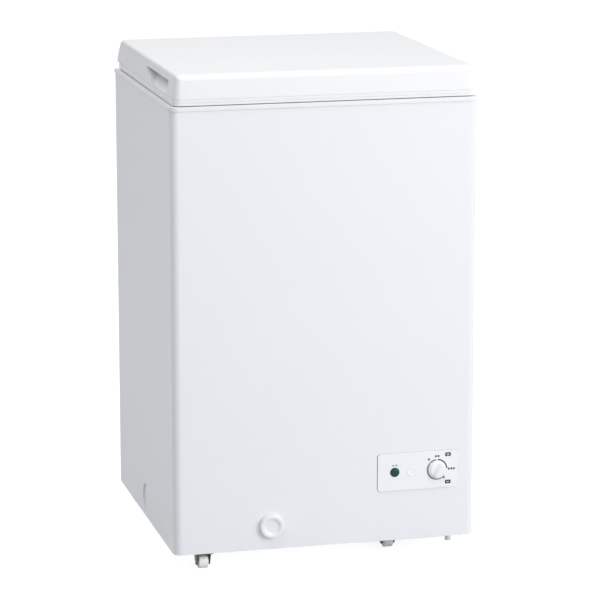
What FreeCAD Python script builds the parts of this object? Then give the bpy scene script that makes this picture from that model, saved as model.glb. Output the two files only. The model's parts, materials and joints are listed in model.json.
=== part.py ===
import FreeCAD, Part
import math
import os
import Sketcher
from FreeCAD import Placement, Rotation, Vector

# Chest freezer of the 100-litre class. Millimetres, +Z up, +X to the right, front at -Y.
# The cabinet is laid out about its own middle (y = 0 is half its depth); at the end every
# piece is moved by "centring" so that the origin is below the middle of the whole object.

doc = FreeCAD.newDocument("ChestFreezer")

# ---------------------------------------------------------------- driving dimensions

DIMENSIONS = {
    "cab_width": 525,
    "cab_depth": 480,
    "base_level": 30,
    "rim_level": 790,
    "front_corner": 20,
    "rear_corner": 1.5,
    "sheet": 0.8,
    "hem": 14,
    "wall": 50,
    "tub_floor": 92,
    "tub_edge": 25,
    "liner": 1,
    "step_level": 296,
    "step_wall": 30,
    "bay_wall": 75,
    "bay_level": 250,
    "collar_lap": 7.5,
    "collar_proud": 1.5,
    "collar_plate": 2.5,
    "collar_lip": 2,
    "lid_inset": 5,
    "lid_front_corner": 28,
    "lid_rear_corner": 16,
    "lid_overhang": 18,
    "lid_rise": 52,
    "lid_joint": 12,
    "lid_gap": 2.5,
    "lid_edge": 12,
    "lid_draft": 2.5,
    "lid_wall": 2.5,
    "lid_rear_gap": 5,
    "drain_across": 167,
    "drain_level": 71,
    "drain_proud": 9,
    "drain_window": 24.8,
    "panel_across": 424,
    "panel_level": 150,
    "panel_width": 142,
    "panel_height": 66,
    "hinge_spread": 320,
    "hinge_back": 10,
    "pin_radius": 3,
    "running_gap": 0.05,
    "wheel_radius": 12,
    "wheel_width": 16,
    "centring": -2.55,
}


class Size:
    """A length that knows its number and the spreadsheet formula that gives it."""

    def __init__(self, value, formula):
        self.value = float(value)
        self.formula = formula

    @staticmethod
    def of(thing):
        if isinstance(thing, Size):
            return thing
        return Size(thing, repr(float(thing)))

    def joined(self, other, sign, value):
        return Size(value, f"({self.formula} {sign} {other.formula})")

    def __add__(self, other):
        other = Size.of(other)
        return self.joined(other, "+", self.value + other.value)

    def __sub__(self, other):
        other = Size.of(other)
        return self.joined(other, "-", self.value - other.value)

    def __mul__(self, other):
        other = Size.of(other)
        return self.joined(other, "*", self.value * other.value)

    def __truediv__(self, other):
        other = Size.of(other)
        return self.joined(other, "/", self.value / other.value)

    def __radd__(self, other):
        return Size.of(other) + self

    def __rsub__(self, other):
        return Size.of(other) - self

    def __rmul__(self, other):
        return Size.of(other) * self

    def __neg__(self):
        return Size.of(-1) * self

    def __abs__(self):
        return self if self.value >= 0 else -self


def make_sheet():
    """The spreadsheet of driving dimensions, and a Size for each of its cells."""
    sheet = doc.addObject("Spreadsheet::Sheet", "Dimensions")
    sizes = {}
    for row, (alias, value) in enumerate(DIMENSIONS.items(), start=1):
        sheet.set(f"A{row}", alias)
        sheet.set(f"B{row}", str(value))
        sheet.setAlias(f"B{row}", alias)
        sizes[alias] = Size(value, f"Dimensions.{alias}")
    doc.recompute()
    return sizes


cell = make_sheet()

# ---------------------------------------------------------------- modelling helpers

NODES = {}
SIDES = (-1, 1)


def node(item, name, x=0, y=0, z=0):
    """Registers an object as a sub-part at its place, under the name of its file."""
    item.Label = name
    NODES[name] = item
    place = (Size.of(x), Size.of(y) + cell["centring"], Size.of(z))
    for axis, size in zip("xyz", place):
        bind(item, f"Placement.Base.{axis}", size)
    return item


def bind(item, prop, size):
    """Ties a property to the spreadsheet."""
    item.setExpression(prop, Size.of(size).formula)


def new_body(name):
    return doc.addObject("PartDesign::Body", name)


def new_sketch(body, role, level=0):
    """A sketch on one of the body's origin planes, moved along world +Z, +Y or +X by level."""
    sketch = body.newObject("Sketcher::SketchObject", body.Name + "_sketch")
    plane = next(f for f in body.Origin.OriginFeatures if f.Role == role)
    sketch.AttachmentSupport = [(plane, "")]
    sketch.MapMode = "FlatFace"
    along_normal = -Size.of(level) if role == "XZ_Plane" else Size.of(level)
    sketch.AttachmentOffset = Placement(Vector(0, 0, along_normal.value), Rotation())
    bind(sketch, "AttachmentOffset.Base.z", along_normal)
    return sketch


def hold(sketch, kind, places, size):
    """Adds a dimension to the sketch and ties it to the spreadsheet."""
    size = Size.of(size)
    index = sketch.addConstraint(Sketcher.Constraint(kind, *places, size.value))
    sketch.setExpression(f"Constraints[{index}]", size.formula)


def arc_between(start, end, radius):
    """The minor arc from start to end. It bulges to the right for a positive radius."""
    chord = end - start
    span = chord.Length
    left = Vector(-chord.y, chord.x, 0) / span
    reach = math.sqrt(max(radius * radius - span * span / 4, 0))
    turn = 1 if radius > 0 else -1
    centre = (start + end) / 2 + left * reach * turn
    first, last = (start, end) if radius > 0 else (end, start)
    angles = [math.atan2(p.y - centre.y, p.x - centre.x) for p in (first, last)]
    circle = Part.Circle(centre, Vector(0, 0, 1), abs(radius))
    return Part.ArcOfCircle(circle, *angles)


def add_outline(sketch, corners):
    """A closed outline. A corner is (x, y) or (x, y, radius); a radius makes the side that
    leaves the corner an arc, which bulges outward on an anticlockwise outline."""
    corners = [tuple(Size.of(part) for part in corner) for corner in corners]
    points = [Vector(c[0].value, c[1].value, 0) for c in corners]
    ends = []
    for i, corner in enumerate(corners):
        start, end = points[i], points[(i + 1) % len(points)]
        if len(corner) == 2:
            index = sketch.addGeometry(Part.LineSegment(start, end), False)
            ends.append((index, 1, 2))
            continue
        index = sketch.addGeometry(arc_between(start, end, corner[2].value), False)
        ends.append((index, 1, 2) if corner[2].value > 0 else (index, 2, 1))
    for i, corner in enumerate(corners):
        index, first, last = ends[i]
        following = ends[(i + 1) % len(ends)]
        joint = Sketcher.Constraint("Coincident", index, last, following[0], following[1])
        sketch.addConstraint(joint)
        hold(sketch, "DistanceX", (-1, 1, index, first), corner[0])
        hold(sketch, "DistanceY", (-1, 1, index, first), corner[1])
        if len(corner) == 3:
            hold(sketch, "Radius", (index,), abs(corner[2]))


def add_rectangle(sketch, left, right, low, high, low_radius=0, high_radius=None):
    """A rectangle whose corners are rounded at its low and its high side."""
    high_radius = low_radius if high_radius is None else high_radius
    a, b = Size.of(low_radius), Size.of(high_radius)
    left, right, low, high = (Size.of(side) for side in (left, right, low, high))
    corners = []
    corners += [(left, low + a, a), (left + a, low)] if a.value else [(left, low)]
    corners += [(right - a, low, a), (right, low + a)] if a.value else [(right, low)]
    corners += [(right, high - b, b), (right - b, high)] if b.value else [(right, high)]
    corners += [(left + b, high, b), (left, high - b)] if b.value else [(left, high)]
    add_outline(sketch, corners)


def add_cut_rectangle(sketch, left, right, low, high, leg):
    """A rectangle whose corners are cut at 45 degrees."""
    left, right, low, high = (Size.of(side) for side in (left, right, low, high))
    add_outline(sketch, [
        (left + leg, low), (right - leg, low), (right, low + leg), (right, high - leg),
        (right - leg, high), (left + leg, high), (left, high - leg), (left, low + leg),
    ])


def add_polygon(sketch, across, up, radius, sides):
    """A regular polygon round a centre; the radius is that of its inner circle."""
    reach = Size.of(radius) / math.cos(math.pi / sides)
    corners = []
    for index in range(sides):
        angle = math.pi * (2 * index + 1) / sides
        corners.append((reach * math.cos(angle) + across, reach * math.sin(angle) + up))
    add_outline(sketch, corners)


def add_circle(sketch, across, up, radius):
    across, up, radius = (Size.of(part) for part in (across, up, radius))
    centre = Vector(across.value, up.value, 0)
    circle = Part.Circle(centre, Vector(0, 0, 1), radius.value)
    index = sketch.addGeometry(circle, False)
    hold(sketch, "DistanceX", (-1, 1, index, 3), across)
    hold(sketch, "DistanceY", (-1, 1, index, 3), up)
    hold(sketch, "Radius", (index,), radius)


def pad(body, sketch, length, down=False, middle=False, taper=None):
    """Adds the sketch's area, along the sketch's normal or against it."""
    feature = body.newObject("PartDesign::Pad", body.Name + "_pad")
    feature.Profile = sketch
    feature.Length = Size.of(length).value
    bind(feature, "Length", length)
    feature.Reversed = down
    feature.Midplane = middle
    if taper is not None:
        feature.TaperAngle = Size.of(taper).value
        bind(feature, "TaperAngle", taper)
    doc.recompute()
    return feature


def pocket(body, sketch, length=None, along=False, middle=False):
    """Cuts the sketch's area against the sketch's normal, or along it; with no length it
    cuts through everything. It has to remove material."""
    before = body.Shape.Volume
    feature = body.newObject("PartDesign::Pocket", body.Name + "_pocket")
    feature.Profile = sketch
    if length is None:
        feature.Type = "ThroughAll"
    else:
        feature.Length = Size.of(length).value
        bind(feature, "Length", length)
    feature.Reversed = along
    feature.Midplane = middle
    doc.recompute()
    if not feature.Shape.Volume < before - 1e-6:
        raise RuntimeError(f"{feature.Name} removes nothing")
    return feature


def round_edges(body, radius, wanted, kind="PartDesign::Fillet"):
    """Fillets or chamfers the body's edges that wanted(edge) picks."""
    base = body.Tip
    names = [f"Edge{i}" for i, e in enumerate(base.Shape.Edges, start=1) if wanted(e)]
    if not names:
        raise RuntimeError(f"{body.Name} has no such edge to round")
    feature = body.newObject(kind, body.Name + "_round")
    feature.Base = (base, names)
    prop = "Radius" if kind == "PartDesign::Fillet" else "Size"
    setattr(feature, prop, Size.of(radius).value)
    bind(feature, prop, radius)
    doc.recompute()
    return feature


def repeat(body, originals, role, count, pitch):
    """Repeats features in a row along one of the body's origin axes."""
    feature = body.newObject("PartDesign::LinearPattern", body.Name + "_row")
    feature.Originals = originals
    axis = next(f for f in body.Origin.OriginFeatures if f.Role == role)
    feature.Direction = (axis, [""])
    feature.Occurrences = count
    feature.Length = Size.of(pitch).value * (count - 1)
    bind(feature, "Length", Size.of(pitch) * (count - 1))
    body.Tip = feature
    doc.recompute()
    return feature


def near(a, b, slack=0.01):
    return abs(a - Size.of(b).value) < slack


def flat_at(edge, level):
    """Does the edge lie wholly at this height?"""
    return near(edge.BoundBox.ZMin, level) and near(edge.BoundBox.ZMax, level)


def level_with(edge, y):
    """Does the edge lie wholly at this distance from front to back?"""
    return near(edge.BoundBox.YMin, y) and near(edge.BoundBox.YMax, y)


def within(edge, radius):
    """Does the edge lie nearer than this to the local y axis?"""
    spot = edge.CenterOfMass
    return math.hypot(spot.x, spot.z) < radius


def upright(edge):
    """Is the edge a vertical line?"""
    box = edge.BoundBox
    return box.XLength < 0.01 and box.YLength < 0.01


def cut(name, base, tool):
    result = doc.addObject("Part::Cut", name)
    result.Base = base
    result.Tool = tool
    doc.recompute()
    return result


def fuse(name, *pieces):
    result = doc.addObject("Part::MultiFuse", name)
    result.Shapes = list(pieces)
    doc.recompute()
    return result


def common(name, *pieces):
    result = doc.addObject("Part::MultiCommon", name)
    result.Shapes = list(pieces)
    doc.recompute()
    return result


def block(name, low, high):
    """A Part::Box between two corners whose coordinates may be formulas."""
    box = doc.addObject("Part::Box", name)
    for prop, axis, a, b in zip(("Length", "Width", "Height"), "xyz", low, high):
        bind(box, prop, Size.of(b) - Size.of(a))
        bind(box, f"Placement.Base.{axis}", a)
    doc.recompute()
    return box


def octagon_rod(name, radius, length, start):
    """An upright eight-sided Part::Prism from a point; the radius is its inner circle's."""
    prism = doc.addObject("Part::Prism", name)
    prism.Polygon = 8
    bind(prism, "Circumradius", Size.of(radius) / math.cos(math.pi / 8))
    bind(prism, "Height", length)
    prism.Placement = Placement(Vector(), Rotation(Vector(0, 0, 1), 22.5))
    for axis, size in zip("xyz", start):
        bind(prism, f"Placement.Base.{axis}", size)
    doc.recompute()
    return prism


# ---------------------------------------------------------------- shared levels

half_width = cell["cab_width"] / 2
half_depth = cell["cab_depth"] / 2
sheet = cell["sheet"]
floor_top = cell["base_level"] + sheet * 2
under_rim = cell["rim_level"] - cell["collar_plate"]
rear_inside = half_depth - sheet * 2
tub_half_width = half_width - cell["wall"]
tub_half_depth = half_depth - cell["wall"]
drain_x = cell["drain_across"] - half_width
panel_x = cell["panel_across"] - half_width

# ---------------------------------------------------------------- cabinet


def make_outer_wrapper():
    """Front and both sides in one folded steel sheet, hemmed under the floor and behind the
    rear panel, with the windows for the control panel and the drain, and a shallow
    lifting recess pressed into the left side."""
    body = new_body("wrapper_sheet")
    base, radius = cell["base_level"], cell["front_corner"]
    plan = new_sketch(body, "XY_Plane", base)
    add_rectangle(plan, -half_width, half_width, -half_depth, half_depth,
                  radius, cell["rear_corner"])
    pad(body, plan, under_rim - base)
    inside = new_sketch(body, "XY_Plane", under_rim)
    add_rectangle(inside, sheet - half_width, half_width - sheet, sheet - half_depth,
                  half_depth - sheet, radius - sheet, 0)
    pocket(body, inside, under_rim - base - sheet)
    hem = cell["hem"]
    below = new_sketch(body, "XY_Plane", base + sheet)
    add_rectangle(below, hem - half_width, half_width - hem, hem - half_depth, half_depth - hem)
    pocket(body, below, sheet)
    behind = new_sketch(body, "XZ_Plane", half_depth)
    add_rectangle(behind, hem - half_width, half_width - hem, base + hem, under_rim + 1)
    pocket(body, behind, hem, along=True)
    windows = new_sketch(body, "XZ_Plane", -half_depth)
    reach_x = cell["panel_width"] / 2 - 6
    reach_z = cell["panel_height"] / 2 - 6
    add_rectangle(windows, panel_x - reach_x, panel_x + reach_x,
                  cell["panel_level"] - reach_z, cell["panel_level"] + reach_z)
    reach = cell["drain_window"] / 2
    add_rectangle(windows, drain_x - reach, drain_x + reach, cell["drain_level"] - reach,
                  cell["drain_level"] + reach)
    pocket(body, windows, sheet * 2)

    deepest, dish_radius, dish_y, dish_z = 3, 26, 3, 63
    slope = math.degrees(math.atan2(deepest, 2 * dish_radius))
    tilt = Rotation(Vector(0, 0, 1), -slope) * Rotation(Vector(0, 0, 1), Vector(-1, 0, 0))
    floor_at = (-half_width + deepest / 2, dish_y, dish_z)
    tools = []
    for name, extra in (("dish_back", sheet), ("dish_front", 0)):
        cylinder = doc.addObject("Part::Cylinder", name)
        bind(cylinder, "Radius", Size.of(extra) + dish_radius)
        cylinder.Height = 20
        cylinder.Placement = Placement(Vector(0, 0, 0), tilt)
        for axis, size in zip("xyz", floor_at):
            shift = Size.of(extra) if axis == "x" else 0
            bind(cylinder, f"Placement.Base.{axis}", size + shift)
        tools.append(cylinder)
    doc.recompute()
    room = block("dish_room", (-half_width + sheet / 2, dish_y - 40, dish_z - 40),
                 (-half_width + 12, dish_y + 40, dish_z + 40))
    dish = common("dish_wall", tools[0], room)
    pressed = fuse("wrapper_pressed", body, dish)
    return node(cut("outer_wrapper", pressed, tools[1]), "outer_wrapper")


def make_rear_panel():
    """Flat steel back behind the wrapper's hems, open at the compressor bay."""
    body = new_body("rear_panel")
    low, high = cell["base_level"] + sheet * 2, under_rim
    face = new_sketch(body, "XZ_Plane", half_depth - sheet)
    side = half_width - sheet - 0.2
    add_rectangle(face, -side, side, low, high)
    pad(body, face, sheet)
    bead = new_sketch(body, "XZ_Plane", half_depth - sheet)
    add_rectangle(bead, -200, 200, 330, 338)
    ridge = pad(body, bead, 1.2, down=True)
    repeat(body, [ridge], "Z_Axis", 4, 110)
    opening = new_sketch(body, "XZ_Plane", half_depth)
    add_rectangle(opening, cell["bay_wall"] + 12, half_width - 26, 48, cell["bay_level"] - 14)
    pocket(body, opening, 6, along=True)
    return node(body, "rear_panel")


def make_base_pan():
    """Steel floor under the foam, resting on the wrapper's lower hem."""
    body = new_body("base_pan")
    plan = new_sketch(body, "XY_Plane", cell["base_level"] + sheet)
    edge = sheet + 2.4
    add_rectangle(plan, edge - half_width, cell["bay_wall"], edge - half_depth,
                  half_depth - edge)
    pad(body, plan, sheet)
    bead = new_sketch(body, "XY_Plane", cell["base_level"] + sheet)
    add_rectangle(bead, -230, cell["bay_wall"] - 40, -166, -156)
    ridge = pad(body, bead, 0.7, down=True)
    repeat(body, [ridge], "Y_Axis", 4, 107)
    return node(body, "base_pan")


def tub_solid(name, grow):
    """The tub's solid form, with its step over the compressor bay, grown outward."""
    body = new_body(name)
    grow = Size.of(grow)
    left, right, wall_x = -tub_half_width - grow, tub_half_width + grow, cell["step_wall"] + grow
    foot, shelf = cell["tub_floor"] - grow, cell["step_level"] - grow
    profile = new_sketch(body, "XZ_Plane")
    add_outline(profile, [(left, under_rim), (left, foot), (wall_x, foot), (wall_x, shelf),
                          (right, shelf), (right, under_rim)])
    pad(body, profile, (tub_half_depth + grow) * 2, middle=True)
    round_edges(body, cell["tub_edge"] + grow, upright)
    return body


def make_bay_shield():
    """Folded sheet that parts the foam from the compressor bay."""
    body = new_body("bay_shield")
    profile = new_sketch(body, "XZ_Plane", rear_inside)
    x, top = cell["bay_wall"], cell["bay_level"]
    right = half_width - sheet - 0.2
    add_outline(profile, [(x, floor_top), (x + sheet, floor_top), (x + sheet, top),
                          (right, top), (right, top + sheet), (x, top + sheet)])
    length = cell["cab_depth"] - sheet * 3 - 0.4
    pad(body, profile, length)
    front = rear_inside - length

    def front_right(edge):
        box = edge.BoundBox
        return upright(edge) and near(box.XMin, right) and near(box.YMin, front)

    round_edges(body, cell["front_corner"] - sheet, front_right)
    return node(body, "bay_shield")


def make_top_collar():
    """Moulded rim: an outer skirt over the wrapper, a flat seat for the gasket and a lip
    down into the tub."""
    body = new_body("top_collar")
    proud, plate, lip = cell["collar_proud"], cell["collar_plate"], cell["collar_lip"]
    low = cell["rim_level"] - cell["collar_lap"]
    gap = 0.1
    plan = new_sketch(body, "XY_Plane", low)
    add_rectangle(plan, -half_width - proud, half_width + proud, -half_depth - proud,
                  half_depth + proud, cell["front_corner"] + proud, cell["rear_corner"] + proud)
    pad(body, plan, cell["collar_lap"])
    hollow = new_sketch(body, "XY_Plane", low)
    add_rectangle(hollow, -half_width - gap, half_width + gap, -half_depth - gap,
                  half_depth + gap, cell["front_corner"] + gap, cell["rear_corner"] + gap)
    pocket(body, hollow, cell["collar_lap"] - plate, along=True)
    mouth_x, mouth_y = tub_half_width - lip, tub_half_depth - lip
    corner = cell["tub_edge"]
    lips = new_sketch(body, "XY_Plane", under_rim)
    add_rectangle(lips, -tub_half_width, tub_half_width, -tub_half_depth, tub_half_depth, corner)
    pad(body, lips, 10, down=True)
    mouth = new_sketch(body, "XY_Plane", cell["rim_level"])
    add_rectangle(mouth, -mouth_x, mouth_x, -mouth_y, mouth_y, corner - lip)
    pocket(body, mouth)
    return node(body, "top_collar")


def make_evaporator_coil():
    """Flattened tube wound round the tub: level turns, joined by jogs at the rear."""
    body = new_body("evaporator_coil")
    thick, tall, pitch, turns, first, leg = 5, 8, 84, 5, 380, 15
    inner_x, inner_y = tub_half_width + cell["liner"], tub_half_depth + cell["liner"]
    turn = new_sketch(body, "XY_Plane", first)
    add_cut_rectangle(turn, -inner_x - thick, inner_x + thick, -inner_y - thick,
                      inner_y + thick, leg + thick * 0.586)
    add_cut_rectangle(turn, -inner_x, inner_x, -inner_y, inner_y, leg)
    ring = pad(body, turn, tall)
    break_plan = new_sketch(body, "XY_Plane", first)
    add_rectangle(break_plan, -30, 30, inner_y - 1, inner_y + thick + 1)
    gap = pocket(body, break_plan, tall, along=True)
    repeat(body, [ring, gap], "Z_Axis", turns, pitch)
    jog = new_sketch(body, "XZ_Plane", inner_y)
    add_outline(jog, [(-30, first), (30, first + pitch), (30, first + pitch + tall),
                      (-30, first + tall)])
    link = pad(body, jog, thick, down=True)
    repeat(body, [link], "Z_Axis", turns - 1, pitch)
    return node(body, "evaporator_coil")


def make_condenser_coil():
    """Warm tube against the inside of the left side sheet: level runs joined by bends, at
    the rear and at the front by turns."""
    body = new_body("condenser_coil")
    bore, cut_leg, runs, reach, first = 5, 12, 8, 200, 180
    pitch = 59
    plane_x = sheet - half_width
    run = new_sketch(body, "YZ_Plane", plane_x)
    add_rectangle(run, cut_leg - reach, reach - cut_leg, first, first + bore)
    row = pad(body, run, bore)
    repeat(body, [row], "Z_Axis", runs, pitch)
    for side in SIDES:
        low = first if side > 0 else first + pitch
        high = low + pitch + bore
        start, end = side * (reach - cut_leg), side * reach
        plan = new_sketch(body, "YZ_Plane", plane_x)
        add_outline(plan, [
            (start, low), (end, low + cut_leg), (end, high - cut_leg), (start, high),
            (start, high - bore), (end - side * bore, high - cut_leg - 2),
            (end - side * bore, low + cut_leg + 2), (start, low + bore),
        ])
        turn = pad(body, plan, bore)
        repeat(body, [turn], "Z_Axis", runs // 2 if side > 0 else runs // 2 - 1, 2 * pitch)
    return node(body, "condenser_coil")


# ---------------------------------------------------------------- lid

lid_side = half_width - cell["lid_inset"]
lid_front = -half_depth + 1
lid_rear = half_depth + cell["lid_overhang"]
frame_rear = half_depth - cell["lid_rear_gap"]
lid_low = cell["rim_level"] + cell["lid_joint"]
lid_top = cell["rim_level"] + cell["lid_rise"]
frame_low = cell["rim_level"] + cell["lid_gap"]
seat_level = lid_low - 2.5


def lid_plan(sketch, inset, rear):
    """The lid's plan, moved inward all round by inset."""
    inset = Size.of(inset)
    rear_corner = cell["lid_rear_corner"] if rear is lid_rear else Size.of(8)
    front, back = (r - inset if r.value - inset.value > 2 else Size.of(2)
                   for r in (cell["lid_front_corner"], rear_corner))
    add_rectangle(sketch, inset - lid_side, lid_side - inset, lid_front + inset,
                  rear - inset, front, back)


def lid_room_plan(sketch, inset, rear):
    """A plan inside the lid with its corners cut at 45 degrees, every side moved inward by
    inset."""
    inset = Size.of(inset)
    leg = 24.34 - inset * (2 - math.sqrt(2))
    add_cut_rectangle(sketch, inset - lid_side, lid_side - inset, lid_front + inset,
                      rear - inset, leg)


def make_lid_outside():
    """The lid's outer form: drafted sides, a rounded top edge and a round lower rear edge
    that clears the cabinet as the lid swings."""
    body = new_body("lid_outside")
    plan = new_sketch(body, "XY_Plane", lid_low)
    lid_plan(plan, 0, lid_rear)
    pad(body, plan, lid_top - lid_low, taper=-cell["lid_draft"])
    round_edges(body, cell["lid_edge"], lambda e: flat_at(e, lid_top))
    under = new_sketch(body, "YZ_Plane")
    curl = 9
    add_outline(under, [
        (lid_rear - curl, lid_low), (lid_rear - curl, lid_low - 4), (lid_rear + 4, lid_low - 4),
        (lid_rear + 4, lid_low + curl), (lid_rear, lid_low + curl, -curl),
    ])
    pocket(body, under, cell["cab_width"] * 2, middle=True)
    return body


def make_lid_room():
    """The space inside the shell, open below as far back as the frame reaches."""
    wall = cell["lid_wall"]
    upper = new_body("lid_room_upper")
    low, high = lid_low + wall, lid_top - wall
    plan = new_sketch(upper, "XY_Plane", low)
    lid_room_plan(plan, 4, lid_rear)
    pad(upper, plan, high - low)
    round_edges(upper, 6, lambda e: flat_at(e, high), "PartDesign::Chamfer")
    rear = lid_rear - 4
    under = new_sketch(upper, "YZ_Plane")
    add_outline(under, [(rear - 7, low), (rear + 1, low - 1), (rear + 1, low + 8)])
    pocket(upper, under, cell["cab_width"] * 2, middle=True)
    well = new_body("lid_room_well")
    plan = new_sketch(well, "XY_Plane", lid_low)
    lid_room_plan(plan, 4, frame_rear)
    pad(well, plan, wall * 2)
    return fuse("lid_room", upper, well)


def scoop(name, grow):
    """The finger scoop in the lid's left side: a fin-shaped mouth that is deepest under its
    level upper edge, and whose floor slopes out to the lip."""
    body = new_body(name)
    grow = Size.of(grow)
    depth, foot, head = 24 + grow, lid_low + 2 - grow, lid_low + 26 + grow
    face = -lid_side
    near_y, far_y = 50 - half_depth - grow, 232 - half_depth + grow
    mouth = new_sketch(body, "YZ_Plane", face - 3)
    add_outline(mouth, [
        (near_y + 20, foot),
        (far_y - 88, foot, 190),
        (far_y - 18, foot + 13.6, 24),
        (far_y, head),
        (near_y, head),
        (near_y + 8, foot + 8, 14),
    ])
    pad(body, mouth, depth + 3)
    slope = new_sketch(body, "XZ_Plane")
    add_outline(slope, [
        (face + grow, foot - 1), (face + depth + 1, foot - 1), (face + depth + 1, foot + 17),
        (face + depth - 6, foot + 12.5),
    ])
    pocket(body, slope, cell["cab_depth"] * 2, middle=True)
    return body


def mirrored(name, source):
    """A copy of an object on the other side of the middle plane x = 0."""
    copy = doc.addObject("Part::Mirroring", name)
    copy.Source = source
    copy.Normal = Vector(1, 0, 0)
    doc.recompute()
    return copy


def make_lid_shell_and_foam():
    """The moulded outer shell with a scoop in each side, and the foam that fills it."""
    outside, inside = make_lid_outside(), make_lid_room()
    scoop_front = scoop("scoop_front", 0)
    scoop_back = scoop("scoop_back", cell["lid_wall"])
    fronts = [scoop_front, mirrored("scoop_front_right", scoop_front)]
    backs = [scoop_back, mirrored("scoop_back_right", scoop_back)]
    back_pair = fuse("scoop_backs", *backs)
    front_pair = fuse("scoop_fronts", *fronts)
    room = cut("lid_room_clear", inside, back_pair)
    solid_shell = cut("lid_shell_closed", outside, room)
    shell = cut("lid_shell", solid_shell, front_pair)
    node(shell, "lid_shell")

    bridge = new_body("lid_foam_bridge")
    plan = new_sketch(bridge, "XY_Plane", seat_level)
    lid_room_plan(plan, 34, frame_rear)
    pad(bridge, plan, lid_low - seat_level)
    boss = boss_body("lid_foam_boss", 2)
    node(fuse("lid_foam", room, bridge, boss), "lid_foam")


def boss_body(name, inset):
    """The part of the lid that hangs into the tub's mouth, with its corners cut."""
    body = new_body(name)
    side_x, side_y, low = tub_half_width - 10.5 - inset, tub_half_depth - 10 - inset, 776 + inset
    plan = new_sketch(body, "XY_Plane", low)
    add_cut_rectangle(plan, -side_x, side_x, -side_y, side_y, 15 - inset)
    pad(body, plan, seat_level - low)
    round_edges(body, 5, lambda e: flat_at(e, low), "PartDesign::Chamfer")
    return body


def make_lid_frame():
    """The frame under the shell: a skirt with a shadow groove and a flange that the gasket
    and the inner panel hang from."""
    body = new_body("lid_frame")
    plan = new_sketch(body, "XY_Plane", frame_low)
    lid_plan(plan, 0, frame_rear)
    pad(body, plan, lid_low - frame_low)
    under = new_sketch(body, "XY_Plane", frame_low)
    lid_room_plan(under, 4, frame_rear)
    pocket(body, under, seat_level - frame_low, along=True)
    opening = new_sketch(body, "XY_Plane", lid_low)
    lid_room_plan(opening, 34, frame_rear)
    pocket(body, opening)
    for level in (frame_low + 2.5, lid_low - 0.8):
        groove = new_sketch(body, "XY_Plane", level)
        lid_plan(groove, -5, frame_rear + 6)
        lid_plan(groove, 0.8, frame_rear)
        pocket(body, groove, 0.8, along=True)
    return node(body, "lid_frame")


def make_lid_inner_panel():
    """Formed inner skin: a flange behind the gasket and a boss that hangs into the mouth."""
    body = new_body("lid_inner_panel")
    skin = 2
    plate = new_sketch(body, "XY_Plane", seat_level - skin)
    lid_room_plan(plate, 21.3, frame_rear)
    pad(body, plate, skin)
    whole = fuse("lid_inner_whole", body, boss_body("lid_boss", 0))
    return node(cut("lid_inner_panel", whole, boss_body("lid_boss_room", skin)),
                "lid_inner_panel")


def make_gasket():
    """Magnetic seal: a bulb on the rim, a narrow neck and a base that fits the frame."""
    body = new_body("lid_gasket")
    rim = cell["rim_level"]
    for low, high, outer, inner in ((rim, rim + 4.5, 6, 20), (rim + 4.5, rim + 7, 10, 16),
                                    (rim + 7, seat_level, 5, 21)):
        plan = new_sketch(body, "XY_Plane", low)
        lid_room_plan(plan, outer, frame_rear)
        lid_room_plan(plan, inner, frame_rear)
        pad(body, plan, Size.of(high) - low)
    return node(body, "lid_gasket")


# ---------------------------------------------------------------- hinges

hinge_y = half_depth + cell["hinge_back"]
hinge_z = cell["rim_level"]
BRACKET_SCREWS = (-68, -48, -28)


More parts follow.
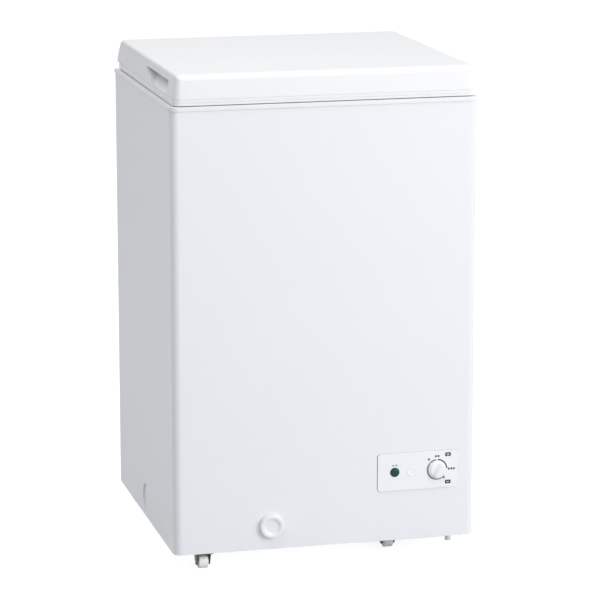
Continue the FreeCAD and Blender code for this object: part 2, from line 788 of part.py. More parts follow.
def make_hinge(side):
    """One rear hinge about the local x axis: a channel on the cabinet, a leaf under the
    lid's overhang, the pin through both and the spring beside the leaf's knuckle."""
    tag = "left" if side < 0 else "right"
    spot = (side * cell["hinge_spread"] / 2, hinge_y, hinge_z)
    ear, ear_inside = 2, 20
    bore_radius = cell["pin_radius"] + cell["running_gap"]

    bracket = new_body(f"hinge_bracket_{tag}")
    profile = new_sketch(bracket, "YZ_Plane")
    seat = -cell["hinge_back"] - sheet
    add_outline(profile, [
        (seat, -80), (-6, -80), (8, -12), (8, 4), (4, 8), (-4, 8), (-8, 4), (-8, -14),
        (seat, -14),
    ])
    pad(bracket, profile, 2 * (ear_inside + ear), middle=True)
    channel = new_sketch(bracket, "XY_Plane", -100)
    add_rectangle(channel, -ear_inside, ear_inside, seat + ear, 20)
    pocket(bracket, channel, 200, along=True)
    eye = new_sketch(bracket, "YZ_Plane")
    add_polygon(eye, 0, 0, bore_radius, 8)
    pocket(bracket, eye, 100, middle=True)
    screws = new_sketch(bracket, "XZ_Plane", 5)
    for level in BRACKET_SCREWS:
        add_rectangle(screws, -2.2, 2.2, level - 2.2, level + 2.2)
    pocket(bracket, screws, 30, along=True)
    node(bracket, f"hinge_bracket_{tag}", *spot)

    leaf = new_body(f"hinge_leaf_{tag}")
    fold = new_sketch(leaf, "YZ_Plane", -19.5)
    add_outline(fold, [
        (-6.5, -2.7), (-2.7, -6.5), (2.7, -6.5), (6.5, -2.7), (6.5, 2.7), (2.7, 6.5),
        (-3, 6.5), (-3, 9.5), (-1, 9.5), (-1, 12), (-14.8, 12), (-14.8, 9.5), (-6.5, 9.5),
    ])
    pad(leaf, fold, 39)
    room = new_sketch(leaf, "XY_Plane", -10)
    add_rectangle(room, 0, 20, -10, 10)
    pocket(leaf, room, 19.5, along=True)
    bore = new_sketch(leaf, "YZ_Plane")
    add_circle(bore, 0, 0, bore_radius)
    pocket(leaf, bore, 100, middle=True)
    holes = new_sketch(leaf, "XY_Plane", 12)
    for across in SIDES:
        add_rectangle(holes, across * 13 - 1.8, across * 13 + 1.8, -12.6, -9)
    pocket(leaf, holes, 2.5)
    node(leaf, f"hinge_leaf_{tag}", *spot)

    pin = new_body(f"hinge_pin_{tag}")
    shaft = new_sketch(pin, "YZ_Plane", -23.5)
    add_circle(shaft, 0, 0, cell["pin_radius"])
    pad(pin, shaft, 47)
    node(pin, f"hinge_pin_{tag}", *spot)

    spring = new_body(f"hinge_spring_{tag}")
    coil = new_sketch(spring, "YZ_Plane", 0.6)
    add_polygon(coil, 0, 0, 5.4, 8)
    add_polygon(coil, 0, 0, bore_radius, 8)
    pad(spring, coil, 18.8)
    node(spring, f"hinge_spring_{tag}", *spot)


# ---------------------------------------------------------------- compressor bay

bay_x = 168
grille_left = cell["bay_wall"] + 4
grille_right = half_width - 15
grille_spots = [(x, z) for x in (grille_left + 4, grille_right - 5) for z in (62, 228)]
gland_x, gland_z = cell["bay_wall"] + 20, 55
plate_level = cell["base_level"] - 2


def make_compressor_base():
    """Steel plate under the bay, bolted to the wrapper's hem, open for air."""
    body = new_body("compressor_base")
    plan = new_sketch(body, "XY_Plane", plate_level)
    front, rear = 30 - half_depth, half_depth - 4
    left, right = cell["bay_wall"] - 15, half_width - 5
    add_rectangle(plan, left, right, front, rear)
    pad(body, plan, 2)
    for low in (front, rear - 2):
        lip = new_sketch(body, "XY_Plane", plate_level)
        add_rectangle(lip, left + 6, right - 6, low, low + 2)
        pad(body, lip, 8, down=True)
    slot = new_sketch(body, "XY_Plane", plate_level)
    add_rectangle(slot, bay_x - 45, bay_x + 45, -150, -144)
    vent = pocket(body, slot, 4, along=True)
    repeat(body, [vent], "Y_Axis", 8, 16)
    return node(body, "compressor_base")


def make_compressor():
    """Hermetic can: two drawn halves welded at a flange, standing on a foot plate."""
    body = new_body("compressor")
    for low, high, radius in ((52, 198, 60), (119, 125, 64)):
        ring = new_sketch(body, "XY_Plane", low)
        add_polygon(ring, 0, 0, radius, 24)
        pad(body, ring, high - low)
    round_edges(body, 20, lambda e: flat_at(e, 198), "PartDesign::Chamfer")
    feet = new_sketch(body, "XY_Plane", 50)
    add_cut_rectangle(feet, -74, 74, -56, 56, 6)
    for x in SIDES:
        for y in SIDES:
            add_polygon(feet, 62 * x, 44 * y, 8.3, 8)
    pad(body, feet, 3)
    terminals = new_sketch(body, "XZ_Plane", -60.6)
    add_rectangle(terminals, -14, 14, 96, 112)
    pad(body, terminals, 10, down=True)
    return node(body, "compressor", bay_x, 110, 0)


def compound(name, items):
    group = doc.addObject("Part::Compound", name)
    group.Links = items
    doc.recompute()
    return group


def make_compressor_mounts():
    """Four rubber grommets through the foot plate, and a hexagonal stud in each."""
    grommets, studs = [], []
    for x in SIDES:
        for y in SIDES:
            spot = Vector(bay_x + 62 * x, 110 + 44 * y, 30)
            grommet = new_body("grommet")
            for low, high, radius in ((0, 19.9, 11.5), (19.9, 27, 8.2)):
                ring = new_sketch(grommet, "XY_Plane", low)
                add_polygon(ring, 0, 0, radius, 8)
                add_polygon(ring, 0, 0, 4.5, 8)
                pad(grommet, ring, high - low)
            grommet.Placement.Base = spot
            grommets.append(grommet)
            stud = new_body("stud")
            for low, high, radius in ((0, 27.1, 3.8), (27.1, 33, 7)):
                part = new_sketch(stud, "XY_Plane", low)
                add_polygon(part, 0, 0, radius, 6)
                pad(stud, part, high - low)
            stud.Placement.Base = spot
            studs.append(stud)
    node(compound("compressor_grommets", grommets), "compressor_grommets")
    node(compound("compressor_studs", studs), "compressor_studs")


def make_relay_cover():
    """Moulded cap over the compressor's terminals, on its front side."""
    body = new_body("start_relay_cover")
    face = new_sketch(body, "XZ_Plane", 49.4)
    add_cut_rectangle(face, bay_x - 24, bay_x + 24, 92, 116.5, 3)
    pad(body, face, 30)
    return node(body, "start_relay_cover")


def make_filter_drier():
    """Copper drier, standing beside the compressor."""
    body = new_body("filter_drier")
    section = new_sketch(body, "XY_Plane", -60)
    add_polygon(section, 0, 0, 9.5, 24)
    pad(body, section, 120)
    return node(body, "filter_drier", 100, -20, 140)


def make_compressor_grille():
    """Slotted steel cover over the bay's opening in the back."""
    body = new_body("compressor_grille")
    face = new_sketch(body, "XZ_Plane", half_depth - sheet)
    add_cut_rectangle(face, grille_left, grille_right, 45, cell["bay_level"] - 6, 5)
    pad(body, face, sheet, down=True)
    middle = (grille_left + grille_right) / 2
    for half in SIDES:
        slot = new_sketch(body, "XZ_Plane", half_depth + sheet)
        centre = middle + half * 40
        add_rectangle(slot, centre - 33, centre + 33, 68, 76)
        vent = pocket(body, slot, 6, along=True)
        repeat(body, [vent], "Z_Axis", 9, 19)
    outlet = new_sketch(body, "XZ_Plane", half_depth + sheet)
    add_polygon(outlet, gland_x, gland_z, 5, 12)
    for x, z in grille_spots:
        add_rectangle(outlet, x - 1.7, x + 1.7, z - 1.7, z + 1.7)
    pocket(body, outlet, 6, along=True)
    return node(body, "compressor_grille")


def make_cable_gland():
    """Moulded bush where the supply cable would leave the bay."""
    body = new_body("cable_gland")
    for rear, front, radius in ((3.6, -4, 4.9), (2, 0, 7.2)):
        outline = new_sketch(body, "XZ_Plane", rear)
        add_polygon(outline, 0, 0, radius, 12)
        pad(body, outline, rear - front)
    bore = new_sketch(body, "XZ_Plane", 3.6)
    add_circle(bore, 0, 0, 3.2)
    pocket(body, bore, 20, middle=True)
    return node(body, "cable_gland", gland_x, half_depth, gland_z)


# ---------------------------------------------------------------- controls

panel_z = cell["panel_level"]
panel_face = -half_depth - 1.5
knob_turn = 29
lamp_x, plug_x, knob_x = 383 - half_width, 412.5 - half_width, 458 - half_width


def make_control_bezel():
    """Thin moulded plate over the window, with a rim that clips into it."""
    body = new_body("control_bezel")
    face = new_sketch(body, "XZ_Plane", -half_depth)
    wide, tall = cell["panel_width"] / 2, cell["panel_height"] / 2
    add_rectangle(face, panel_x - wide, panel_x + wide, panel_z - tall, panel_z + tall, 6)
    pad(body, face, 1.5)
    rim = new_sketch(body, "XZ_Plane", -half_depth)
    for inset in (6.3, 8.3):
        add_rectangle(rim, panel_x - wide + inset, panel_x + wide - inset,
                      panel_z - tall + inset, panel_z + tall - inset)
    pad(body, rim, 8, down=True)
    holes = new_sketch(body, "XZ_Plane", panel_face)
    for across, radius in ((lamp_x, 7.2), (plug_x, 7.5), (knob_x, 5)):
        add_polygon(holes, across, panel_z, radius, 8)
    pocket(body, holes, 5)
    return node(body, "control_bezel")


def make_controls():
    """Thermostat and its knob, power lamp and blanking plug."""
    stat = new_body("thermostat_body")
    case = new_sketch(stat, "XZ_Plane", -half_depth)
    add_rectangle(case, -18, 18, -16, 16)
    pad(stat, case, 30, down=True)
    bush = new_sketch(stat, "XZ_Plane", -half_depth)
    add_polygon(bush, 0, 0, 4.9, 8)
    pad(stat, bush, 1.7)
    bore = new_sketch(stat, "XZ_Plane", -half_depth - 1.7)
    add_circle(bore, 0, 0, cell["pin_radius"] + cell["running_gap"])
    pocket(stat, bore, 16)
    node(stat, "thermostat_body", knob_x, 0, panel_z)

    tip = panel_face - 4.5
    spindle = new_body("thermostat_spindle")
    shaft = new_sketch(spindle, "XZ_Plane", -half_depth + 14)
    add_circle(shaft, 0, 0, cell["pin_radius"])
    pad(spindle, shaft, -half_depth + 14 - tip)
    node(spindle, "thermostat_spindle", knob_x, 0, panel_z)

    knob = new_body("thermostat_knob")
    back = panel_face - 0.4
    skirt = new_sketch(knob, "XZ_Plane", back)
    add_polygon(skirt, 0, 0, 15.5, 48)
    pad(knob, skirt, 3)
    hub = new_sketch(knob, "XZ_Plane", back - 3)
    add_polygon(hub, 0, 0, 13.6, 24)
    pad(knob, hub, 2.6)
    round_edges(knob, 1.6, lambda e: level_with(e, back - 5.6), "PartDesign::Chamfer")
    grip = new_sketch(knob, "XZ_Plane", back - 5)
    add_outline(grip, [
        (-3, -11), (-1.5, -13.2), (1.5, -13.2), (3, -11), (2, 12.4), (1.2, 13.4),
        (-1.2, 13.4), (-2, 12.4),
    ])
    pad(knob, grip, 6)
    nose = back - 11
    round_edges(knob, 0.8, lambda e: level_with(e, nose), "PartDesign::Chamfer")
    socket = new_sketch(knob, "XZ_Plane", back)
    add_polygon(socket, 0, 0, cell["pin_radius"], 8)
    pocket(knob, socket, back - tip, along=True)
    knob.Placement = Placement(Vector(), Rotation(Vector(0, 1, 0), knob_turn))
    node(knob, "thermostat_knob", knob_x, 0, panel_z)

    lens = new_body("power_lamp_lens")
    stem = new_sketch(lens, "XZ_Plane", 0)
    add_polygon(stem, 0, 0, 7.1, 8)
    pad(lens, stem, 2.5)
    flange = new_sketch(lens, "XZ_Plane", -2.5)
    add_polygon(flange, 0, 0, 8.25, 36)
    pad(lens, flange, 1)
    dome = new_sketch(lens, "XZ_Plane", -3.5)
    add_polygon(dome, 0, 0, 7.4, 24)
    pad(lens, dome, 1.3)
    round_edges(lens, 1.2, lambda e: level_with(e, -4.8), "PartDesign::Chamfer")
    node(lens, "power_lamp_lens", lamp_x, -half_depth + 1, panel_z)

    holder = new_body("lamp_holder")
    barrel = new_sketch(holder, "XZ_Plane", -half_depth + 1)
    add_polygon(barrel, 0, 0, 7.1, 8)
    pad(holder, barrel, 22, down=True)
    tabs = new_sketch(holder, "XZ_Plane", -half_depth + 23)
    for across in SIDES:
        add_rectangle(tabs, across * 4 - 0.4, across * 4 + 0.4, -3, 3)
    pad(holder, tabs, 8, down=True)
    node(holder, "lamp_holder", lamp_x, 0, panel_z)

    plug = new_body("blank_plug")
    stem = new_sketch(plug, "XZ_Plane", 2)
    add_polygon(stem, 0, 0, 7.4, 8)
    pad(plug, stem, 3.5)
    button = new_sketch(plug, "XZ_Plane", -1.5)
    add_polygon(button, 0, 0, 8.5, 36)
    pad(plug, button, 0.8)
    dimple = new_sketch(plug, "XZ_Plane", -2.3)
    add_polygon(dimple, 0, 0, 6.7, 24)
    pocket(plug, dimple, 0.5)
    node(plug, "blank_plug", plug_x, -half_depth, panel_z)


# ---------------------------------------------------------------- drain

outlet_y = -half_depth - 1.2
neck_end = outlet_y + 14
riser_y = -128.5


def tube_path(body, half, spare):
    """The drain's elbow in side view, with open ends lengthened by spare."""
    path = new_sketch(body, "YZ_Plane")
    top = cell["tub_floor"] - cell["liner"] - cell["drain_level"]
    add_outline(path, [
        (neck_end - spare, -half), (riser_y + half, -half), (riser_y + half, top + spare),
        (riser_y - half, top + spare), (riser_y - half, half), (neck_end - spare, half),
    ])
    return path


def make_drain():
    """Flanged outlet with its cap, the tube under the tub, and the plug in the tub's floor."""
    level = cell["drain_level"]
    fitting = new_body("drain_fitting")
    flange = new_sketch(fitting, "XZ_Plane", 0)
    add_polygon(flange, 0, 0, 17, 8)
    pad(fitting, flange, 1.2, down=True)
    neck = new_sketch(fitting, "XZ_Plane", 1.2)
    half = cell["drain_window"] / 2 - 0.2
    add_rectangle(neck, -half, half, -half, half)
    pad(fitting, neck, 12.8, down=True)
    bore = new_sketch(fitting, "XZ_Plane", 0)
    add_polygon(bore, 0, 0, 7, 8)
    pocket(fitting, bore, 40, middle=True)
    node(fitting, "drain_fitting", drain_x, outlet_y, level)

    cap = new_body("drain_cap")
    front = 1.2 - cell["drain_proud"]
    drum = new_sketch(cap, "XZ_Plane", 1)
    add_polygon(drum, 0, 0, 20.5, 48)
    pad(cap, drum, 1 - front)
    behind = new_sketch(cap, "XZ_Plane", 1)
    add_polygon(behind, 0, 0, 17.3, 8)
    pocket(cap, behind, 1, along=True)
    stem = new_sketch(cap, "XZ_Plane", 13)
    add_polygon(stem, 0, 0, 6.9, 8)
    pad(cap, stem, 13)
    hollow = new_sketch(cap, "XZ_Plane", front)
    add_polygon(hollow, 0, 0, 11.5, 24)
    pocket(cap, hollow, 5.5)
    round_edges(cap, 4.8, lambda e: level_with(e, front) and within(e, 13),
                "PartDesign::Chamfer")
    node(cap, "drain_cap", drain_x, outlet_y, level)

    tube = new_body("drain_tube")
    pad(tube, tube_path(tube, 9, 0), 18, middle=True)
    pocket(tube, tube_path(tube, 7, 1), 14, middle=True)
    node(tube, "drain_tube", drain_x, 0, level)

    plug = new_body("inner_drain_plug")
    stem = new_sketch(plug, "XY_Plane", -7)
    add_polygon(stem, 0, 0, 6.8, 8)
    pad(plug, stem, 7)
    flange = new_sketch(plug, "XY_Plane")
    add_polygon(flange, 0, 0, 11, 16)
    pad(plug, flange, 2)
    tab = new_sketch(plug, "XZ_Plane")
    add_outline(tab, [(-4, 1), (4, 1), (4, 9.5), (2, 12), (-2, 12), (-4, 9.5)])
    pad(plug, tab, 2.4, middle=True)
    node(plug, "inner_drain_plug", drain_x, riser_y, cell["tub_floor"])


def make_inner_liner():
    """Formed tub with its drain hole, and the grown solid that the foam is moulded round."""
    outer = tub_solid("tub_outside", cell["liner"])
    inner = tub_solid("tub_inside", 0)
    hole = octagon_rod("liner_drain", 7, 20, (drain_x, riser_y, cell["tub_floor"] - 10))
    node(cut("inner_liner", outer, fuse("tub_room", inner, hole)), "inner_liner")
    return outer


def make_foam(tub):
    """Foamed-in-place insulation between the steel outside and the tub."""
    body = new_body("foam_block")
    plan = new_sketch(body, "XY_Plane", floor_top)
    add_rectangle(plan, sheet - half_width, half_width - sheet, sheet - half_depth, rear_inside,
                  cell["front_corner"] - sheet, 0)
    pad(body, plan, under_rim - floor_top)
    far = half_depth + 1
    bay = block("bay_room", (cell["bay_wall"], -far, 0),
                (half_width + 1, far, cell["bay_level"] + sheet))
    level, neck_half = cell["drain_level"], cell["drain_window"] / 2 - 0.2
    neck = block("neck_room", (drain_x - neck_half, -half_depth, level - neck_half),
                 (drain_x + neck_half, neck_end, level + neck_half))
    run = block("run_room", (drain_x - 9, -half_depth, level - 9),
                (drain_x + 9, riser_y + 9, level + 9))
    riser = block("riser_room", (drain_x - 9, riser_y - 9, level - 9),
                  (drain_x + 9, riser_y + 9, level + 30))
    rooms = fuse("foam_rooms", tub, bay, neck, run, riser, doc.getObject("dish_back"))
    node(cut("foam_insulation", body, rooms), "foam_insulation")


# ---------------------------------------------------------------- running gear

WHEELS = {
    "front_left": (52, 20, 30),
    "rear_left": (52, 460, 30),
    "front_right": (388, 61, 28),
    "rear_right": (388, 419, 28),
}


def make_caster(name, across, along, height):
    """Fixed caster about the local x axis: a folded fork, the axle pressed into its square
    eyes, and the wheel."""
    x, y = across - half_width, along - half_depth
    axle_z = cell["wheel_radius"]
    top = Size.of(height) - axle_z
    fork = new_body(f"fork_{name}")
    cheek = new_sketch(fork, "YZ_Plane")
    add_outline(cheek, [(-6, -3), (-3, -6), (3, -6), (6, -3), (14, top - 2), (14, top),
                        (-14, top), (-14, top - 2)])
    pad(fork, cheek, 24, middle=True)
    plate = new_sketch(fork, "XY_Plane", top - 2)
    add_rectangle(plate, -15, 15, -18, 18)
    pad(fork, plate, 2)
    room = new_sketch(fork, "XY_Plane", -10)
    add_rectangle(room, -10, 10, -15, 15)
    pocket(fork, room, top + 8, along=True)
    eyes = new_sketch(fork, "YZ_Plane")
    pin = cell["pin_radius"]
    add_rectangle(eyes, -pin, pin, -pin, pin)
    pocket(fork, eyes, 60, middle=True)
    axle = new_body(f"axle_{name}")
    journal = new_sketch(axle, "YZ_Plane")
    add_polygon(journal, 0, 0, cell["pin_radius"] - 0.03, 24)
    pad(axle, journal, 26, middle=True)
    for item in (fork, axle):
        for axis, size in zip("xyz", (x, y, axle_z)):
            bind(item, f"Placement.Base.{axis}", size)
    wheel = new_body(f"caster_wheel_{name}")
    tread = new_sketch(wheel, "YZ_Plane")
    add_polygon(tread, 0, 0, cell["wheel_radius"], 36)
    add_circle(tread, 0, 0, cell["pin_radius"] + cell["running_gap"])
    pad(wheel, tread, cell["wheel_width"], middle=True)
    node(wheel, f"caster_wheel_{name}", x, y, axle_z)
    return fork, axle


def make_running_gear():
    pairs = [make_caster(name, *spot) for name, spot in WHEELS.items()]
    node(compound("caster_forks", [fork for fork, axle in pairs]), "caster_forks")
    node(compound("caster_axles", [axle for fork, axle in pairs]), "caster_axles")
    feet = []
    for side in SIDES:
        foot = new_body("support_foot")
        pad_sketch = new_sketch(foot, "XY_Plane")
        add_polygon(pad_sketch, 0, 0, 8, 24)
        pad(foot, pad_sketch, 20)
        flange = new_sketch(foot, "XY_Plane", 20)
        add_polygon(flange, 0, 0, 11.5, 8)
        pad(foot, flange, plate_level - 20)
        bind(foot, "Placement.Base.x", 502 - half_width)
        bind(foot, "Placement.Base.y", side * (half_depth - 73))
        feet.append(foot)
    node(compound("support_feet", feet), "support_feet")


# ---------------------------------------------------------------- screws


def make_screws(name, head_radius, head, shank_half, shank, spots, facing):
    """A group of equal screws, whose heads face along the direction given."""
    screws = []
    for spot in spots:
        screw = new_body("screw")
        top = new_sketch(screw, "XY_Plane")
        add_polygon(top, 0, 0, head_radius, 6)
        pad(screw, top, head)
        neck = new_sketch(screw, "XY_Plane")
        add_rectangle(neck, -shank_half, shank_half, -shank_half, shank_half)
        pad(screw, neck, shank, down=True)
        screw.Placement = Placement(Vector(), Rotation(Vector(0, 0, 1), Vector(*facing)))
        for axis, size in zip("xyz", spot):
            bind(screw, f"Placement.Base.{axis}", size)
        screws.append(screw)
    node(compound(name, screws), name)


def make_all_screws():
    spread = cell["hinge_spread"] / 2
    back = half_depth - sheet
    spots = [(side * spread, back + 2, hinge_z + level)
             for side in SIDES for level in BRACKET_SCREWS]
    make_screws("hinge_bracket_screws", 3.8, 2, 2.15, 2, spots, (0, 1, 0))
    spots = [(side * spread + across * 13, hinge_y - 10.8, hinge_z + 9.5)
             for side in SIDES for across in SIDES]
    make_screws("hinge_leaf_screws", 2.8, 1.8, 1.75, 2.5, spots, (0, 0, -1))
    spots = [(x, half_depth, z) for x, z in grille_spots]
    make_screws("grille_screws", 2.8, 1.6, 1.65, sheet, spots, (0, 1, 0))


# ---------------------------------------------------------------- basket


def hoop(role, level, low, high, foot, top):
    """A basket wire bent to a U, square in section: down one wall, across and up the other."""
    body = new_body("basket_hoop")
    bar = 3.2
    outline = new_sketch(body, role, level - bar / 2)
    add_outline(outline, [
        (low, top), (low, foot), (high, foot), (high, top), (high - bar, top),
        (high - bar, foot + bar), (low + bar, foot + bar), (low + bar, top),
    ])
    pad(body, outline, bar)
    return body


def make_basket():
    """Lift-out wire basket that hangs by its hooks from the rim at the left end of the tub."""
    left, right, side, rim, low = -204, -16, 176, 766, 620
    rings = new_body("basket_rings")
    for level, inset, tall in ((rim - 3, 0, 6), (low + 74, 2.8, 3.2)):
        plan = new_sketch(rings, "XY_Plane", level)
        for inner in (inset, inset + 3):
            add_rectangle(plan, left + inner, right - inner, inner - side, side - inner)
        pad(rings, plan, tall)
    pieces = [rings]
    for index in range(7):
        pieces.append(hoop("XZ_Plane", -150 + 50 * index, left, right, low, rim - 2))
    for x in (-160, -60):
        pieces.append(hoop("YZ_Plane", x, -side, side, low - 2.8, rim - 2))
    for end in SIDES:
        for x in (-160, -60):
            hook = new_body("basket_hook")
            path = new_sketch(hook, "YZ_Plane", x - 1.6)
            add_outline(path, [
                (end * 175, rim - 2), (end * 182.4, rim - 2), (end * 185.6, rim + 1),
                (end * 185.6, 790), (end * 196, 790), (end * 196, 793.2), (end * 182.4, 793.2),
                (end * 182.4, rim + 2), (end * 175, rim + 2),
            ])
            pad(hook, path, 3.2)
            pieces.append(hook)
    doc.recompute()
    node(fuse("storage_basket", *pieces), "storage_basket")


# ---------------------------------------------------------------- pipes


def make_pipe(name, role, level, path, half):
    """A tube, square in section, along level and upright runs in one upright plane."""
    body = new_body(name)
    lefts = []
    for (x, z), (next_x, next_z) in zip(path, path[1:]):
        run = math.hypot(next_x - x, next_z - z)
        lefts.append(((z - next_z) / run * half, (next_x - x) / run * half))
    near_side, far_side = [], []
    for index, (x, z) in enumerate(path):
        turns = set(lefts[max(index - 1, 0):index + 1])
        shift_x, shift_z = (sum(parts) for parts in zip(*turns))
        near_side.append((x + shift_x, z + shift_z))
        far_side.append((x - shift_x, z - shift_z))
    outline = new_sketch(body, role, level)
    add_outline(outline, far_side + near_side[::-1])
    pad(body, outline, 2 * half, middle=True)
    return body


def make_pipes():
    """Suction, discharge and liquid lines between the compressor, the drier and the foam."""
    top, can = cell["bay_level"].value, 60
    left, right = bay_x - can, bay_x + can
    pipes = [
        make_pipe("suction_line", "XZ_Plane", 110, [(88, top), (88, 100), (left, 100)], 4),
        make_pipe("discharge_line", "XZ_Plane", 110, [(247, top), (247, 150), (right, 150)], 3),
        make_pipe("liquid_line", "YZ_Plane", 100, [(-20, 80), (-20, 62), (-120, 62),
                                                   (-120, top)], 3),
        make_pipe("capillary", "YZ_Plane", 100, [(-20, 200), (-20, top)], 1.5),
    ]
    node(compound("refrigerant_pipes", pipes), "refrigerant_pipes")


# ---------------------------------------------------------------- the whole object


def main():
    make_outer_wrapper()
    make_rear_panel()
    make_base_pan()
    tub = make_inner_liner()
    make_bay_shield()
    make_top_collar()
    make_evaporator_coil()
    make_condenser_coil()
    make_foam(tub)
    make_lid_shell_and_foam()
    make_lid_frame()
    make_lid_inner_panel()
    make_gasket()
    for side in SIDES:
        make_hinge(side)
    make_compressor_base()
    make_compressor()
    make_compressor_mounts()
    make_relay_cover()
    make_filter_drier()
    make_pipes()
    make_compressor_grille()
    make_cable_gland()
    make_control_bezel()
    make_controls()
    make_drain()
    make_running_gear()
    make_all_screws()
    make_basket()


def check_and_export():
    """Refuses a faulty document, then writes one file for each sub-part."""
    doc.recompute()
    faulty = [item.Name for item in doc.Objects if {"Invalid", "Error"} & set(item.State)]
    for name, item in NODES.items():
        if item.Shape.isNull() or not item.Shape.isValid():
            faulty.append(name)
    if faulty:
        raise RuntimeError(f"faulty objects: {faulty}")
    os.makedirs("parts", exist_ok=True)
    for name, item in NODES.items():
        item.Shape.exportStep(f"parts/{name}.step")


main()
check_and_export()
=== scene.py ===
import bpy
import bmesh
import json
import math
from mathutils import Matrix, Vector


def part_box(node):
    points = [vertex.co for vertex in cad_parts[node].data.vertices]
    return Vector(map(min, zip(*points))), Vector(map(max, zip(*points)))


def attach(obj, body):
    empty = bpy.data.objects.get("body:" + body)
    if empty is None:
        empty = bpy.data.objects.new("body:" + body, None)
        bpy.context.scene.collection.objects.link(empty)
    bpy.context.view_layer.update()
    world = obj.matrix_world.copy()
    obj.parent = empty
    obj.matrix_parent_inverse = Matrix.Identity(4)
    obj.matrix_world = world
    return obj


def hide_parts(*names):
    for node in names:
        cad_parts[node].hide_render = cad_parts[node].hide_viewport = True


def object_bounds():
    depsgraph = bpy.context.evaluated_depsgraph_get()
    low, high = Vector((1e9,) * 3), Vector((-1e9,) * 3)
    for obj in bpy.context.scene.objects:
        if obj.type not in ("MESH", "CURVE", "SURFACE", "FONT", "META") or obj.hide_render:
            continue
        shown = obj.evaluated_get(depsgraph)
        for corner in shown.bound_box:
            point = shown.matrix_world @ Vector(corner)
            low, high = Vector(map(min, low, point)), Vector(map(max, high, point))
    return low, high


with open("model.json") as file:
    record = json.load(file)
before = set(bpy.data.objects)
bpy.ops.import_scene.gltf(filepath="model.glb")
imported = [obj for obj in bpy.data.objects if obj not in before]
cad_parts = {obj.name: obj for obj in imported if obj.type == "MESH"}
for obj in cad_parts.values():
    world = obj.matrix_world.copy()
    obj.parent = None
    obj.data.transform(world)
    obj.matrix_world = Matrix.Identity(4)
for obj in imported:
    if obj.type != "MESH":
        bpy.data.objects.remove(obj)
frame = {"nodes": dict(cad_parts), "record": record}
cad_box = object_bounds()
record = frame["record"]
nodes = frame["nodes"]
scene = bpy.context.scene
MM = 0.001
TO_BACK = Matrix.Rotation(-math.pi / 2, 4, "X")  # turns local +Z to +Y, towards the back
DOUBLED = 1e-6  # CAD vertices closer than this, in metres, are one


# ------------------------------------------------------------------ materials

COLOUR_A, COLOUR_B, COLOUR_OUT = 6, 7, 2  # sockets of a Mix node that mixes colours
COAT_ROUGHNESS = 0.12


def new_material(name):
    mat = bpy.data.materials.new(name)
    mat.use_nodes = True
    tree = mat.node_tree
    shader = next(n for n in tree.nodes if n.type == "BSDF_PRINCIPLED")
    return mat, tree, shader


def put(tree, kind, inputs=None, **settings):
    """A shader node with its settings; inputs are numbers, colours or other nodes' outputs."""
    item = tree.nodes.new(kind)
    for key, value in settings.items():
        setattr(item, key, value)
    for key, value in (inputs or {}).items():
        if isinstance(value, bpy.types.NodeSocket):
            tree.links.new(value, item.inputs[key])
        else:
            item.inputs[key].default_value = value
    return item


def object_place(tree):
    return put(tree, "ShaderNodeTexCoord").outputs["Object"]


def noise(tree, scale, detail=2.0):
    """Noise from 0 to 1, with about scale patches to the metre."""
    return put(tree, "ShaderNodeTexNoise",
               {"Vector": object_place(tree), "Scale": scale, "Detail": detail}).outputs["Fac"]


def spread(tree, value, low, high):
    """The value, from 0 to 1, mapped on to low to high."""
    return put(tree, "ShaderNodeMapRange",
               {"Value": value, "To Min": low, "To Max": high}).outputs["Result"]


def blend_colours(tree, factor, one, other):
    mix = put(tree, "ShaderNodeMix", data_type="RGBA")
    tree.links.new(factor, mix.inputs[0])
    for socket, colour in ((COLOUR_A, one), (COLOUR_B, other)):
        mix.inputs[socket].default_value = (*colour, 1)
    return mix.outputs[COLOUR_OUT]


def bump(tree, height, strength, distance):
    return put(tree, "ShaderNodeBump",
               {"Strength": strength, "Distance": distance, "Height": height}).outputs["Normal"]


def finish_material(name, colour, rough, *, vary=0.02, patch=8, grain=900, strength=0.05,
                    depth=0.2, metal=0.0, coat=0.0, sheen=0.0, rough_vary=0.06, **extra):
    """A finish with broad colour variation, uneven gloss and a fine surface grain. Patch and
    grain count to the metre, depth is in mm, and extra names further shader sockets."""
    mat, tree, shader = new_material(name)
    dark = tuple(c * (1 - vary) for c in colour)
    light = tuple(min(c * (1 + vary), 1) for c in colour)
    tone = blend_colours(tree, noise(tree, patch, 3), dark, light)
    tree.links.new(tone, shader.inputs["Base Color"])
    uneven = spread(tree, noise(tree, grain / 12), max(rough - rough_vary, 0.02),
                    rough + rough_vary)
    tree.links.new(uneven, shader.inputs["Roughness"])
    fine = bump(tree, noise(tree, grain), strength, depth * MM)
    tree.links.new(fine, shader.inputs["Normal"])
    shader.inputs["Metallic"].default_value = metal
    shader.inputs["Coat Weight"].default_value = coat
    shader.inputs["Coat Roughness"].default_value = COAT_ROUGHNESS
    shader.inputs["Sheen Weight"].default_value = sheen
    for key, value in extra.items():
        shader.inputs[key.replace("_", " ")].default_value = value
    return mat


def stucco_material(name, colour, pebbles=210.0, relief=1.2):
    """Embossed sheet: small rounded pebbles pressed into bright aluminium. Pebbles count to the
    metre, and relief is in mm."""
    mat = finish_material(name, colour, 0.36, metal=0.55, grain=1600, strength=0.02)
    tree = mat.node_tree
    shader = next(n for n in tree.nodes if n.type == "BSDF_PRINCIPLED")
    cells = put(tree, "ShaderNodeTexVoronoi", {"Vector": object_place(tree), "Scale": pebbles},
                feature="SMOOTH_F1")
    raised = bump(tree, cells.outputs["Distance"], 0.5, relief * MM)
    tree.links.new(raised, shader.inputs["Normal"])
    return mat


